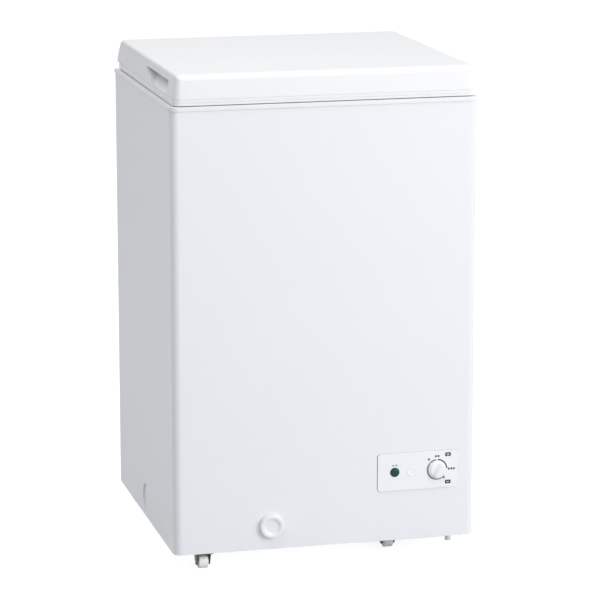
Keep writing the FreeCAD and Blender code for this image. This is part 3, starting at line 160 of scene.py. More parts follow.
def spangle_material(name, colour, crystals=90.0, darkest=0.82, smooth=0.32, rough=0.5):
    """Hot-dip zinc: flat crystals, each with its own brightness and gloss. Crystals count to
    the metre."""
    mat, tree, shader = new_material(name)
    cells = put(tree, "ShaderNodeTexVoronoi", {"Vector": object_place(tree), "Scale": crystals})
    tone = put(tree, "ShaderNodeSeparateColor", {"Color": cells.outputs["Color"]})
    dark = tuple(c * darkest for c in colour)
    mixed = blend_colours(tree, tone.outputs["Red"], dark, colour)
    tree.links.new(mixed, shader.inputs["Base Color"])
    uneven = spread(tree, tone.outputs["Green"], smooth, rough)
    tree.links.new(uneven, shader.inputs["Roughness"])
    shader.inputs["Metallic"].default_value = 0.5
    tree.links.new(bump(tree, noise(tree, 700), 0.05, 0.2 * MM), shader.inputs["Normal"])
    return mat


# Colour and roughness first, then what differs from finish_material's usual values.
FINISHES = {
    "white_enamel": ((0.822, 0.834, 0.855), 0.38, {
        "vary": 0.008, "patch": 5, "grain": 420, "strength": 0.035, "rough_vary": 0.03,
        "Specular_IOR_Level": 0.28}),
    "back_enamel": ((0.66, 0.675, 0.70), 0.42, {"vary": 0.015, "grain": 500}),
    "hardware_steel": ((0.62, 0.62, 0.63), 0.30, {
        "vary": 0.06, "patch": 60, "grain": 1500, "metal": 1.0, "rough_vary": 0.08}),
    "dark_steel": ((0.035, 0.035, 0.038), 0.45, {
        "vary": 0.2, "patch": 50, "grain": 800, "strength": 0.12}),
    "coil_aluminium": ((0.68, 0.69, 0.70), 0.35, {"vary": 0.05, "patch": 40, "metal": 1.0}),
    "white_plastic": ((0.82, 0.82, 0.825), 0.38, {
        "vary": 0.008, "patch": 9, "grain": 1900, "strength": 0.06, "depth": 0.1}),
    "lid_plastic": ((0.84, 0.843, 0.847), 0.48, {
        "vary": 0.008, "patch": 6, "grain": 1700, "strength": 0.09, "depth": 0.12,
        "Specular_IOR_Level": 0.4}),
    "panel_plastic": ((0.85, 0.862, 0.88), 0.44, {
        "vary": 0.008, "patch": 14, "grain": 2600, "strength": 0.08, "depth": 0.08}),
    "foam": ((0.80, 0.70, 0.42), 0.85, {
        "vary": 0.12, "patch": 30, "grain": 600, "strength": 0.5, "depth": 1.0, "sheen": 0.2}),
    "compressor_black": ((0.012, 0.012, 0.014), 0.38, {
        "vary": 0.3, "patch": 35, "grain": 260, "strength": 0.08, "depth": 0.4, "coat": 0.2}),
    "copper": ((0.62, 0.28, 0.16), 0.32, {
        "vary": 0.18, "patch": 45, "strength": 0.06, "metal": 1.0, "rough_vary": 0.12}),
    "black_plastic": ((0.018, 0.018, 0.02), 0.5, {
        "vary": 0.15, "patch": 30, "grain": 2200, "strength": 0.1, "depth": 0.1}),
    "seal_rubber": ((0.70, 0.71, 0.73), 0.6, {
        "patch": 20, "grain": 1800, "strength": 0.1, "depth": 0.1}),
    "black_rubber": ((0.022, 0.022, 0.022), 0.75, {
        "vary": 0.25, "patch": 60, "grain": 1500, "strength": 0.2}),
    "wheel_nylon": ((0.90, 0.905, 0.89), 0.4, {
        "vary": 0.03, "patch": 80, "grain": 1600, "strength": 0.06}),
    "green_lens": ((0.001, 0.052, 0.042), 0.35, {
        "vary": 0.1, "patch": 120, "grain": 2500, "strength": 0.03,
        "Specular_IOR_Level": 0.25}),
    "ink": ((0.018, 0.018, 0.02), 0.5, {"vary": 0.1, "patch": 200, "grain": 2600}),
    # grey ink for print, also used for the painted shadow round the control panel and under the
    # knob
    "grey_ink": ((0.22, 0.225, 0.235), 0.5, {"vary": 0.06, "patch": 200, "grain": 2600}),
    "basket_wire": ((0.80, 0.81, 0.82), 0.32, {
        "patch": 25, "grain": 1200, "strength": 0.06, "coat": 0.3}),
}

materials = {
    "galvanised": spangle_material("galvanised", (0.72, 0.735, 0.75)),
    "liner_sheet": stucco_material("liner_sheet", (0.80, 0.81, 0.82)),
}
for name, (colour, rough, settings) in FINISHES.items():
    materials[name] = finish_material(name, colour, rough, **settings)
slot_of = {part["node"]: part["material_slot"] for part in record["subparts"]}

for name, item in nodes.items():
    item.data.materials.clear()
    item.data.materials.append(materials[slot_of[name]])


# ------------------------------------------------------------------ mesh helpers

def rounded(corners, steps=5):
    """The open path through corners (point, radius), each corner an arc of its radius."""
    path = [Vector(corners[0][0])]
    for before, (corner, radius), after in zip(corners, corners[1:], corners[2:]):
        corner = Vector(corner)
        come = (corner - Vector(before[0])).normalized()
        leave = (Vector(after[0]) - corner).normalized()
        turn = come.angle(leave)
        if radius == 0 or turn < 0.01:
            path.append(corner)
            continue
        first, last = (corner + way * radius * math.tan(turn / 2) for way in (-come, leave))
        centre = corner + (leave - come).normalized() * radius / math.cos(turn / 2)
        for step in range(steps + 1):
            share = step / steps
            path.append(centre + ((first - centre) * math.sin((1 - share) * turn)
                                  + (last - centre) * math.sin(share * turn)) / math.sin(turn))
    path.append(Vector(corners[-1][0]))
    return path


def round_off(shape, edges, radius, segments, clamp=False):
    """Rounds the edges by the radius, in mm, or by what fits if clamp is set."""
    bmesh.ops.bevel(shape, geom=edges, offset=radius * MM, segments=segments, profile=0.5,
                    affect="EDGES", clamp_overlap=clamp)


def lathe(profile, steps, closed=False):
    """A turned form about local Z; the profile's corners are (radius, along, fillet) in mm. A
    closed profile is a ring's section."""
    corners = [((r * MM, z * MM), fillet * MM) for r, z, fillet in profile]
    shape = bmesh.new()
    rings = []
    for point in rounded(corners):
        if point.x < 1e-7:
            rings.append([shape.verts.new((0, 0, point.y))])
            continue
        angles = [2 * math.pi * step / steps for step in range(steps)]
        rings.append([shape.verts.new((point.x * math.cos(a), point.x * math.sin(a), point.y))
                      for a in angles])
    pairs = list(zip(rings, rings[1:]))
    if closed:
        pairs.append((rings[-1], rings[0]))
    for one, other in pairs:
        for step in range(steps):
            after = (step + 1) % steps
            loop = [one[step % len(one)], one[after % len(one)],
                    other[after % len(other)], other[step % len(other)]]
            loop = list(dict.fromkeys(loop))
            if len(loop) > 2:
                shape.faces.new(loop)
    return shape


def slab(outline, low, high, edge=0.0):
    """A plate from low to high in local Z, with its outline in local X and Y and its edges
    rounded by edge, all in mm."""
    shape = bmesh.new()
    rings = [[shape.verts.new((x * MM, y * MM, z * MM)) for x, y in outline]
             for z in (low, high)]
    shape.faces.new(rings[0][::-1])
    shape.faces.new(rings[1])
    count = len(outline)
    for step in range(count):
        after = (step + 1) % count
        shape.faces.new((rings[0][step], rings[0][after], rings[1][after], rings[1][step]))
    if edge:
        sharp = [e for e in shape.edges if e.calc_face_angle(0) > math.radians(40)]
        round_off(shape, sharp, edge, 3)
    return shape


CORNER_STEPS = 6


def rounded_box_outline(half_x, half_y, radius):
    """An anticlockwise rectangle about the origin with rounded corners, in mm."""
    outline = []
    for side_x, side_y, start in ((1, 1, 0), (-1, 1, 90), (-1, -1, 180), (1, -1, 270)):
        for step in range(CORNER_STEPS + 1):
            angle = math.radians(start + 90 * step / CORNER_STEPS)
            outline.append((side_x * (half_x - radius) + radius * math.cos(angle),
                            side_y * (half_y - radius) + radius * math.sin(angle)))
    return outline


def rectangle(half_x, half_y):
    """An anticlockwise rectangle about the origin, in mm."""
    return [(-half_x, -half_y), (half_x, -half_y), (half_x, half_y), (-half_x, half_y)]


def joined(*shapes):
    """One bmesh of (shape, matrix) pairs."""
    whole = bmesh.new()
    for shape, matrix in shapes:
        mesh = bpy.data.meshes.new("part")
        shape.to_mesh(mesh)
        mesh.transform(matrix)
        whole.from_mesh(mesh)
        bpy.data.meshes.remove(mesh)
    return whole


def carved(shape, tool):
    """The shape less the tool."""
    items = []
    for part in (shape, tool):
        bmesh.ops.recalc_face_normals(part, faces=part.faces)
        mesh = bpy.data.meshes.new("carving")
        part.to_mesh(mesh)
        items.append(bpy.data.objects.new("carving", mesh))
        scene.collection.objects.link(items[-1])
    step = items[0].modifiers.new("cut", "BOOLEAN")
    step.operation = "DIFFERENCE"
    step.object = items[1]
    evaluated = items[0].evaluated_get(bpy.context.evaluated_depsgraph_get())
    result = bmesh.new()
    result.from_mesh(evaluated.to_mesh())
    evaluated.to_mesh_clear()
    for item in items:
        mesh = item.data
        bpy.data.objects.remove(item)
        bpy.data.meshes.remove(mesh)
    return result


def add_piece(name, data, slot, body, *replaced):
    """Links a mesh or curve as a piece that rides on a body and stands for CAD nodes."""
    item = bpy.data.objects.new(name, data)
    scene.collection.objects.link(item)
    data.materials.append(materials[slot])
    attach(item, body)
    if replaced:
        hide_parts(*replaced)
    return item


def mesh_piece(name, shape, slot, body, *replaced, place=Matrix(), sharp=40):
    """A piece from a bmesh, moved by place and shaded smooth up to edges of sharp degrees."""
    bmesh.ops.recalc_face_normals(shape, faces=shape.faces)
    mesh = bpy.data.meshes.new(name)
    shape.to_mesh(mesh)
    mesh.transform(place)
    for face in mesh.polygons:
        face.use_smooth = True
    mesh.set_sharp_from_angle(angle=math.radians(sharp))
    return add_piece(name, mesh, slot, body, *replaced)


def wires(name, runs, radius, loops=()):
    """Round wires along paths, in metres; the runs numbered in loops are closed."""
    data = bpy.data.curves.new(name, "CURVE")
    data.dimensions = "3D"
    data.bevel_depth = radius
    data.bevel_resolution = 3
    data.use_fill_caps = True
    for index, run in enumerate(runs):
        spline = data.splines.new("POLY")
        spline.points.add(len(run) - 1)
        for point, spot in zip(spline.points, run):
            point.co = (*spot, 1)
        spline.use_cyclic_u = index in loops
        spline.use_smooth = True
    return data


def copied(name):
    """A CAD node's mesh with its doubled vertices joined."""
    shape = bmesh.new()
    shape.from_mesh(nodes[name].data)
    bmesh.ops.remove_doubles(shape, verts=shape.verts, dist=DOUBLED)
    return shape


def islands(name):
    """The box of each separate solid in a CAD node."""
    shape = copied(name)
    left = set(shape.verts)
    boxes = []
    while left:
        front = [left.pop()]
        found = list(front)
        while front:
            near = {e.other_vert(v) for v in front for e in v.link_edges} & left
            left -= near
            front = list(near)
            found += front
        corners = [v.co for v in found]
        low = Vector([min(c[i] for c in corners) for i in range(3)])
        high = Vector([max(c[i] for c in corners) for i in range(3)])
        boxes.append((low, high))
    shape.free()
    return sorted(boxes, key=lambda box: tuple(round(c, 4) for c in box[0]))


def middle(name):
    low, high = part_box(name)
    return (low + high) / 2


def foot_of(name):
    """The middle of the underside of a CAD node's box."""
    centre = middle(name)
    return Vector((centre.x, centre.y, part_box(name)[0].z))


def face_of(name):
    """The middle of the front of a CAD node's box."""
    centre = middle(name)
    return Vector((centre.x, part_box(name)[0].y, centre.z))


def size_of(name):
    """The three sizes of a CAD node's box in mm."""
    low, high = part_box(name)
    return tuple((b - a) / MM for a, b in zip(low, high))


def at(point, turn=Matrix()):
    return Matrix.Translation(point) @ turn


# ------------------------------------------------------------------ softened CAD pieces

def soften(item, width):
    """Rounds an object's edges by the width in mm and smooths its shading, with modifiers."""
    for face in item.data.polygons:
        face.use_smooth = True
    weld = item.modifiers.new("weld", "WELD")
    weld.merge_threshold = DOUBLED
    flat = item.modifiers.new("flat", "DECIMATE")
    flat.decimate_type = "DISSOLVE"
    flat.angle_limit = math.radians(0.5)
    bevel = item.modifiers.new("edges", "BEVEL")
    bevel.width = width * MM
    bevel.segments = 2
    bevel.limit_method = "ANGLE"
    bevel.angle_limit = math.radians(32)
    bevel.miter_outer = "MITER_ARC"
    normals = item.modifiers.new("normals", "WEIGHTED_NORMAL")
    normals.weight = 90


# The width in mm that each carried-over CAD node's edges are rounded by.
SOFT_EDGES = {
    "rear_panel": 0.3, "lid_inner_panel": 1.2, "lid_gasket": 0.9, "inner_liner": 0.3,
    "control_bezel": 0.5, "bay_shield": 0.2, "compressor_base": 0.3,
    "compressor_grille": 0.2, "hinge_bracket_left": 0.4, "hinge_bracket_right": 0.4,
    "hinge_leaf_left": 0.4, "hinge_leaf_right": 0.4, "hinge_pin_left": 0.3,
    "hinge_pin_right": 0.3, "caster_forks": 0.3, "caster_axles": 0.3,
    "start_relay_cover": 1.0, "cable_gland": 0.3, "compressor_grommets": 0.5,
    "compressor_studs": 0.3, "inner_drain_plug": 0.4, "drain_fitting": 0.3,
}


# ------------------------------------------------------------------ crisper lid and cabinet

NEAR = 1e-5  # room for rounding, in metres, when vertices are sorted by place
SKIN = 1.6  # how deep in mm the moved outer skin reaches
LID_EDGE = 12  # the CAD lid's top edge radius in mm
LID_DRAFT = math.tan(math.radians(2.5))  # how far its sides lean in for each unit of height
FRONT_CORNER, REAR_CORNER = 28, 16  # its upright corner radii in mm
NEW_FRONT_CORNER, NEW_SIDE_EDGE, NEW_FRONT_EDGE = 14, 4.5, 10.5
MORE_TILT = 2.5 / 40  # extra inward lean of its sides
REAR_LEAN = 20  # how far in mm the top of the lid's rear leans forward
SCOOP_ALONG, SCOOP_UP = (35, 240), (1, 27)  # where each scoop's mouth is, from front and foot
LIP_RADIUS = 1.8  # round that mouth


def clamped(value, high):
    return min(max(value, 0), high)


def square_up(shape, low, high, old, new):
    """Moves the skin of the two upright front corners out, from radius old to new in mm."""
    for vert in shape.verts:
        side = math.copysign(1, vert.co.x)
        arm = Vector((vert.co.x - side * (high.x - old * MM), vert.co.y - low.y - old * MM))
        if arm.x * side > -NEAR and arm.y < NEAR and arm.length > (old - SKIN) * MM:
            way = arm.normalized()
            vert.co.x += (side - way.x) * (old - new) * MM
            vert.co.y += (-1 - way.y) * (old - new) * MM


def crisp_piece(name, shape, slot, body, node, width):
    """A piece in place of a CAD node, smooth all over, with edges rounded by the width in mm."""
    item = mesh_piece(name, shape, slot, body, node, sharp=180)
    soften(item, width)


def lean_forward(shape, low, high):
    """Leans the lid's rear forward: its last 30 mm in full and the 40 mm before that in part,
    and the more the higher they are above the first 12 mm."""
    base = 12 * MM
    for vert in shape.verts:
        share = clamped((vert.co.y - high.y + 70 * MM) / (40 * MM), 1)
        lift = clamped((vert.co.z - low.z - base) / (high.z - low.z - base), 1)
        vert.co.y -= REAR_LEAN * MM * share * lift ** 1.3


def tighten(shape, low, high):
    """Moves the outer skin of the lid's top edge and front corners out to smaller radii, and
    leans its sides in."""
    edge = LID_EDGE * MM
    for vert in shape.verts:
        x, y, z = vert.co
        side, back = math.copysign(1, x), math.copysign(1, y)
        corner = (FRONT_CORNER if back < 0 else REAR_CORNER) * MM
        far = high.y if back > 0 else -low.y
        arm = Vector((max(abs(x) - high.x + corner, 0) * side,
                      max(abs(y) - far + corner, 0) * back))
        rise = clamped(z - high.z + edge, edge)
        drop = edge - math.sqrt(edge ** 2 - rise ** 2)
        depth = corner - arm.length - (z - low.z) * LID_DRAFT - drop
        if arm.length == 0 or abs(depth) > SKIN * MM:
            continue
        way = arm.normalized()
        if rise > 0:
            facing_front = max(-way.y, 0) ** 2
            radius = NEW_SIDE_EDGE + (NEW_FRONT_EDGE - NEW_SIDE_EDGE) * facing_front
            gain = edge - radius * MM
            up = gain * (1 - rise / edge)
            out = gain * drop / edge - up * LID_DRAFT
            vert.co += Vector((way.x * out, way.y * out, up))
        if abs(x) > high.x - corner - NEAR and y < low.y + corner + NEAR:
            gain = (FRONT_CORNER - NEW_FRONT_CORNER) * MM
            vert.co += Vector((side - way.x, -1 - way.y, 0)) * gain
        vert.co.x -= way.x * (vert.co.z - low.z) * MORE_TILT


def round_scoops(shape, low, high):
    """Rounds the edge where each finger scoop meets the lid's side."""
    def on_lip(vert):
        along, up = vert.co.y - low.y, vert.co.z - low.z
        side = high.x - up * (LID_DRAFT + MORE_TILT)
        return (abs(abs(vert.co.x) - side) < 0.1 * MM
                and SCOOP_ALONG[0] * MM < along < SCOOP_ALONG[1] * MM
                and SCOOP_UP[0] * MM < up < SCOOP_UP[1] * MM)

    lip = [e for e in shape.edges if all(on_lip(v) for v in e.verts)
           and e.calc_face_angle(0) > math.radians(30)]
    round_off(shape, lip, LIP_RADIUS, 4, clamp=True)


def make_shell():
    """The lid's cover: the CAD shell with tighter edges and front corners, sides and a rear
    that lean in, and a rounded lip round each scoop. The foam leans with it."""
    low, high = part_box("lid_shell")
    cover = copied("lid_shell")
    tighten(cover, low, high)
    lean_forward(cover, low, high)
    bmesh.ops.dissolve_limit(cover, angle_limit=math.radians(0.5), verts=cover.verts,
                             edges=cover.edges)
    round_scoops(cover, low, high)
    crisp_piece("lid_cover", cover, slot_of["lid_shell"], "lid", "lid_shell", 0.7)
    filling = copied("lid_foam")
    lean_forward(filling, low, high)
    mesh_piece("lid_filling", filling, "foam", "lid", "lid_foam", sharp=30)


def make_corners():
    """The lid's frame, the rim and the wrapper with tighter upright front corners, and a
    narrower gap under the lid, which widens from the front to the rear."""
    skirt = copied("lid_frame")
    low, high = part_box("lid_frame")
    square_up(skirt, low, high, FRONT_CORNER, NEW_FRONT_CORNER)
    front_drop, rear_drop = 1, 0.3
    for vert in skirt.verts:
        if vert.co.z < low.z + 0.05 * MM:
            share = (vert.co.y - low.y) / (high.y - low.y)
            vert.co.z -= (front_drop - (front_drop - rear_drop) * share) * MM
    crisp_piece("lid_skirt", skirt, slot_of["lid_frame"], "lid", "lid_frame", 0.6)
    for name, node, radius, width in (
            ("rim_moulding", "top_collar", 21.5, 0.8),
            ("wrapper_sheet", "outer_wrapper", 20, 0.3)):
        shape = copied(node)
        square_up(shape, *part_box(node), radius, radius - 6)
        crisp_piece(name, shape, slot_of[node], "cabinet", node, width)


# ------------------------------------------------------------------ controls

KNOB_TURN = Matrix.Rotation(math.radians(29), 4, "Y")  # how the grip points at rest


def make_knob():
    """A dial with a chamfered rim and a waisted grip across its face, wider at its foot."""
    wide, deep, _ = size_of("thermostat_knob")
    radius = wide / 2
    dial = lathe([(0, 5.4, 0), (12.2, 5.4, 0.8), (13.7, 8, 0.5), (radius - 0.3, 8, 0.4),
                  (radius - 0.05, deep, 0.3), (0, deep, 0)], 96)
    foot = [(-6, 9), (-3.8, 12.2), (0, 13.3), (3.2, 12.6), (5, 10.5),
            (4.2, -10.5), (2.2, -12.8), (-1, -13.2), (-4, -12), (-5.6, -9.5)]
    crest = [(x * 0.25 + 1.4, y * 0.97) for x, y in foot]
    grip = slab(foot[::-1], 0, 6.2)
    top = [v for v in grip.verts if v.co.z < DOUBLED]
    for vert in top:
        near = min(foot, key=lambda spot: (Vector(spot) * MM - vert.co.xy).length)
        vert.co.xy = Vector(crest[foot.index(near)]) * MM
    round_off(grip, [e for e in grip.edges if all(v in top for v in e.verts)], 0.7, 3)
    mesh_piece("knob_dial", joined((dial, Matrix()), (grip, Matrix())), "panel_plastic", "knob",
               "thermostat_knob", place=at(face_of("thermostat_knob"), KNOB_TURN @ TO_BACK),
               sharp=24)


def turned_front(name, node, slot, body, profile, steps):
    """A turned piece that faces the front and stands for the CAD node."""
    mesh_piece(name, lathe(profile, steps), slot, body, node, place=at(face_of(node), TO_BACK))


def make_front_pieces():
    """The lamp's domed lens, the blanking plug and the dished drain cap."""
    turned_front("lamp_dome", "power_lamp_lens", "green_lens", "cabinet", [
        (0, 0, 0), (4.4, 0.15, 6), (7.3, 1.3, 0.6), (8.1, 1.5, 0.3), (8.2, 2.25, 0),
        (7, 2.3, 0), (7, 4.8, 0), (0, 4.8, 0)], 72)
    turned_front("plug_button", "blank_plug", "panel_plastic", "cabinet", [
        (0, 0.5, 0), (5.9, 0.5, 0.4), (6.6, 0, 0.3), (8.1, 0, 0.5), (8.45, 0.75, 0.1),
        (7.2, 0.8, 0), (7.2, 4.3, 0), (0, 4.3, 0)], 72)
    radius = size_of("drain_cap")[0] / 2
    turned_front("cap_body", "drain_cap", "white_plastic", "drain_cap", [
        (0, 3.2, 0), (10.5, 3.2, 2), (15, 0, 1.5), (radius - 1.2, 0, 1.4),
        (radius, 3.2, 2), (radius, 8.8, 0.3), (17.4, 8.8, 0), (17.4, 7.9, 0),
        (6.8, 7.9, 0), (6.6, 20.8, 0.4), (0, 20.8, 0)], 96)


# ------------------------------------------------------------------ running gear, fasteners

def make_wheels():
    """Rollers with a bore, a hub, a thinner web and a rounded tread."""
    bore, hub, web, tread = 3.05, 5.4, 5.8, 9
    for tag in ("front_left", "rear_left", "front_right", "rear_right"):
        name = "caster_wheel_" + tag
        wide, _, tall = size_of(name)
        half, rim = wide / 2, tall / 2
        side = [(hub, half, 0.3), (web, half - 1.2, 0.3), (tread, half - 1.2, 0.3),
                (tread + 0.4, half, 0.3), (rim, half, 1.3)]
        profile = [(bore, -half, 0)] + [(r, -z, fillet) for r, z, fillet in side]
        profile += side[::-1] + [(bore, half, 0)]
        mesh_piece("roller_" + tag, lathe(profile, 64, closed=True), "wheel_nylon",
                   "wheel_" + tag, name,
                   place=at(middle(name), Matrix.Rotation(math.pi / 2, 4, "Y")))


def make_feet():
    """Slim stems, wider at their foot, under round flanges."""
    shapes = []
    for low, high in islands("support_feet"):
        tall = (high.z - low.z) / MM
        foot = lathe([(0, 0, 0), (6, 0, 1.2), (4.6, 18.6, 0.8), (11.3, 21.4, 0.6),
                      (11.3, tall, 0.2), (0, tall, 0)], 48)
        spot = (low + high) / 2
        shapes.append((foot, at((spot.x, spot.y, low.z))))
    mesh_piece("pale_feet", joined(*shapes), "wheel_nylon", "cabinet", "support_feet")


def screw_head(radius, tall):
    """A pan head with a cross recess, its top at local +Z."""
    head = lathe([(0, 0, 0), (radius, 0, 0.1), (radius, tall * 0.45, radius * 0.3),
                  (radius * 0.45, tall, 0.4), (0, tall, 0)], 32)
    long, thin = radius * 0.58, 0.35
    for half_x, half_y in ((long, thin), (thin, long)):
        head = carved(head, slab(rectangle(half_x, half_y), tall * 0.4, tall + 1))
    return head


def make_screws():
    """Pan-head screws in place of the hexagonal ones, turned by different amounts."""
    groups = (("hinge_bracket_screws", "cabinet", TO_BACK, 2),
              ("grille_screws", "cabinet", TO_BACK, 1.6),
              ("hinge_leaf_screws", "lid", Matrix.Rotation(math.pi, 4, "X"), 1.8))
    for node, body, turn, tall in groups:
        shapes = []
        for index, (low, high) in enumerate(islands(node)):
            centre = (low + high) / 2
            radius = (high.x - low.x) / 2 / MM - 0.1
            if body == "lid":
                seat = Vector((centre.x, centre.y, low.z + tall * MM))
            else:
                seat = Vector((centre.x, high.y - tall * MM, centre.z))
            spin = Matrix.Rotation(0.7 * index + 0.3, 4, "Z")
            shapes.append((screw_head(radius, tall), at(seat, turn @ spin)))
        mesh_piece("pan_" + node, joined(*shapes), "hardware_steel", body, node, sharp=30)


def make_springs():
    """A wound coil in place of each sleeve."""
    wire, turns, steps = 0.9 * MM, 8, 24
    for tag in ("left", "right"):
        low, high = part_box("hinge_spring_" + tag)
        centre = (low + high) / 2
        radius = (high.z - low.z) / 2 - wire - 0.2 * MM
        span = high.x - low.x - 2 * wire
        path = []
        for step in range(turns * steps + 1):
            angle = 2 * math.pi * step / steps
            path.append((low.x + wire + span * step / (turns * steps),
                         centre.y + radius * math.cos(angle),
                         centre.z + radius * math.sin(angle)))
        add_piece("hinge_coil_" + tag, wires("hinge_coil_" + tag, [path], wire), "dark_steel",
                  "cabinet", "hinge_spring_" + tag)


# ------------------------------------------------------------------ compressor bay

def make_compressor():
    """A welded can with a seam flange, on a foot plate, with its terminal block at the front."""
    top = size_of("compressor")[2]
    can = lathe([(0, 3, 0), (40, 3, 10), (59.6, 14, 12), (59.6, 69.4, 0.4), (63.6, 69.4, 0.6),
                 (63.6, 74.6, 0.6), (59.6, 74.6, 0.4), (59.6, top - 20, 26),
                 (26, top - 1.5, 30), (0, top, 0)], 96)
    feet = slab(rounded_box_outline(73.8, 55.8, 9), 0, 3, 0.8)
    block = slab(rounded_box_outline(14, 5.4, 1.5), 46, 62, 0.8)
    spot = foot_of("compressor")
    front = Vector((spot.x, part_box("compressor")[0].y + 9 * MM, spot.z))
    mesh_piece("compressor_can", joined((can, at(spot)), (feet, at(spot)), (block, at(front))),
               "compressor_black", "cabinet", "compressor", sharp=50)


def make_drier():
    wide, _, tall = size_of("filter_drier")
    radius = wide / 2
    body = lathe([(0, 0, 0), (3.4, 0, 0.3), (3.6, 5, 1.5), (radius, 14, 4),
                  (radius, tall - 14, 4), (3.6, tall - 5, 1.5), (3.4, tall, 0.3),
                  (0, tall, 0)], 48)
    mesh_piece("drier_body", body, "copper", "cabinet", "filter_drier",
               place=at(foot_of("filter_drier")))


def make_pipes():
    """Round tubes with bends, along the runs of the square-sectioned CAD ones."""
    drier_low, drier_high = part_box("filter_drier")
    low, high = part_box("refrigerant_pipes")
    can, drier = middle("compressor"), middle("filter_drier")
    top, bend, side = high.z - 0.2 * MM, 14 * MM, 58 * MM
    inlet, outlet = 100 * MM, 150 * MM  # heights at which tubes enter the can
    routes = (
        ("suction", 3.9, [(low.x + 4 * MM, can.y, top), (low.x + 4 * MM, can.y, inlet),
                          (can.x - side, can.y, inlet)]),
        ("discharge", 2.9, [(high.x - 3 * MM, can.y, top), (high.x - 3 * MM, can.y, outlet),
                            (can.x + side, can.y, outlet)]),
        ("liquid", 2.9, [(drier.x, drier.y, drier_low.z), (drier.x, drier.y, low.z + 3 * MM),
                         (drier.x, low.y + 3 * MM, low.z + 3 * MM),
                         (drier.x, low.y + 3 * MM, top)]),
        ("capillary", 1.4, [(drier.x, drier.y, drier_high.z), (drier.x, drier.y, top)]),
    )
    for name, radius, points in routes:
        path = rounded([(point, bend) for point in points], 8)
        replaced = ("refrigerant_pipes",) if name == "suction" else ()
        add_piece(name + "_line", wires(name, [path], radius * MM), "copper", "cabinet",
                  *replaced)


# ------------------------------------------------------------------ basket

def make_basket():
    """Hoops across and along, a middle ring, a thicker rim and four hooks over the tub's edge."""
    low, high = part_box("storage_basket")
    left, right = low.x, high.x
    centre_y, side = (low.y + high.y) / 2, (high.y - low.y) / 2 - 20 * MM
    rim, floor = high.z - 27.2 * MM, low.z + 4.4 * MM
    wire, rim_wire, corner = 1.5 * MM, 2.2 * MM, 13 * MM
    lengthwise = (left + 44 * MM, left + 144 * MM)
    crosswise, pitch, steps = 7, 50, 8

    def ring(inset, level):
        a, b = left + inset + corner, right - inset - corner
        c, d = centre_y - side + inset + corner, centre_y + side - inset - corner
        path = []
        for x, y, start in ((b, d, 0), (a, d, 90), (a, c, 180), (b, c, 270)):
            for step in range(steps + 1):
                angle = math.radians(start + 90 * step / steps)
                path.append((x + corner * math.cos(angle), y + corner * math.sin(angle), level))
        return path

    hoops = []
    for index in range(crosswise):
        y = centre_y + pitch * (index - (crosswise - 1) / 2) * MM
        a, b = left + wire, right - wire
        hoops.append([(a, y, rim), (a, y, floor), (b, y, floor), (b, y, rim)])
    for x in lengthwise:
        a, b, z = centre_y - side + wire, centre_y + side - wire, floor - 2.9 * MM
        hoops.append([(x, a, rim), (x, a, z), (x, b, z), (x, b, rim)])
    runs = [rounded([(point, 9 * MM) for point in hoop]) for hoop in hoops]
    runs.append(ring(wire + 2.8 * MM, floor + 71 * MM))
    add_piece("basket_wires", wires("basket_wires", runs, wire, [len(runs) - 1]),
              "basket_wire", "basket", "storage_basket")
    add_piece("basket_rim", wires("basket_rim", [ring(rim_wire, rim)], rim_wire, [0]),
              "basket_wire", "basket")
    hooks = []
    top = high.z - wire
    for end in (-1, 1):
        inner, outer, tip = (centre_y + end * (side + d * MM) for d in (-2, 8, 18.5))
        for x in lengthwise:
            points = [(x, inner, rim), (x, outer, rim), (x, outer, top), (x, tip, top)]
            hooks.append(rounded([(point, 3 * MM) for point in points]))
    add_piece("basket_hooks", wires("basket_hooks", hooks, wire), "basket_wire", "basket")


# ------------------------------------------------------------------ printed panel, with painted shadow

PRINT, SIGN = 0.06, 0.1  # how thick in mm the marks and the signs on them are


def print_marks(name, colour, marks, thick, face):
    """Thin solids on a front face; each mark is an outline in mm about x and z in metres."""
    shapes = [(slab(outline, 0, thick), at((x, face - thick * MM, z), TO_BACK))
              for outline, x, z in marks]
    mesh_piece(name, joined(*shapes), colour, "cabinet")


def box_at(centre, x, z, wide, tall, radius=0.0):
    """A rectangle x and z mm from the centre, with rounded corners if a radius is given."""
    outline = (rounded_box_outline(wide / 2, tall / 2, radius) if radius
               else rectangle(wide / 2, tall / 2))
    return outline, centre.x + x * MM, centre.z + z * MM


def arc_at(centre, start, end, inner, outer):
    """A band round the centre; its angles are measured from +X towards +Z."""
    steps = max(int(abs(end - start) / 4), 2)
    angles = [math.radians(start + (end - start) * step / steps) for step in range(steps + 1)]
    points = [(outer * math.cos(a), -outer * math.sin(a)) for a in angles]
    points += [(inner * math.cos(a), -inner * math.sin(a)) for a in reversed(angles)]
    return points, centre.x, centre.z


def painted_shadow_band_at(node, left_shadow_width, right_shadow_width):
    """A thin painted shadow band round a front plate, standing for the shade in the gap round it,
    in two halves, wider along its shaded left side.
    """
    wide, _, tall = size_of(node)
    centre = middle(node)
    half_ring = 2 * (CORNER_STEPS + 1)
    halves = []
    for gap, first in ((left_shadow_width, half_ring // 2), (right_shadow_width, 3 * half_ring // 2)):
        outer = rounded_box_outline(wide / 2 + gap, tall / 2 + 0.4, 6.5)
        inner = rounded_box_outline(wide / 2, tall / 2, 6)
        outer, inner = ((path + path)[first:first + half_ring] for path in (outer, inner))
        ends = [(0, outer[-1][1]), (0, inner[-1][1])]
        starts = [(0, inner[0][1]), (0, outer[0][1])]
        halves.append((outer + ends + inner[::-1] + starts, centre.x, centre.z))
    return halves


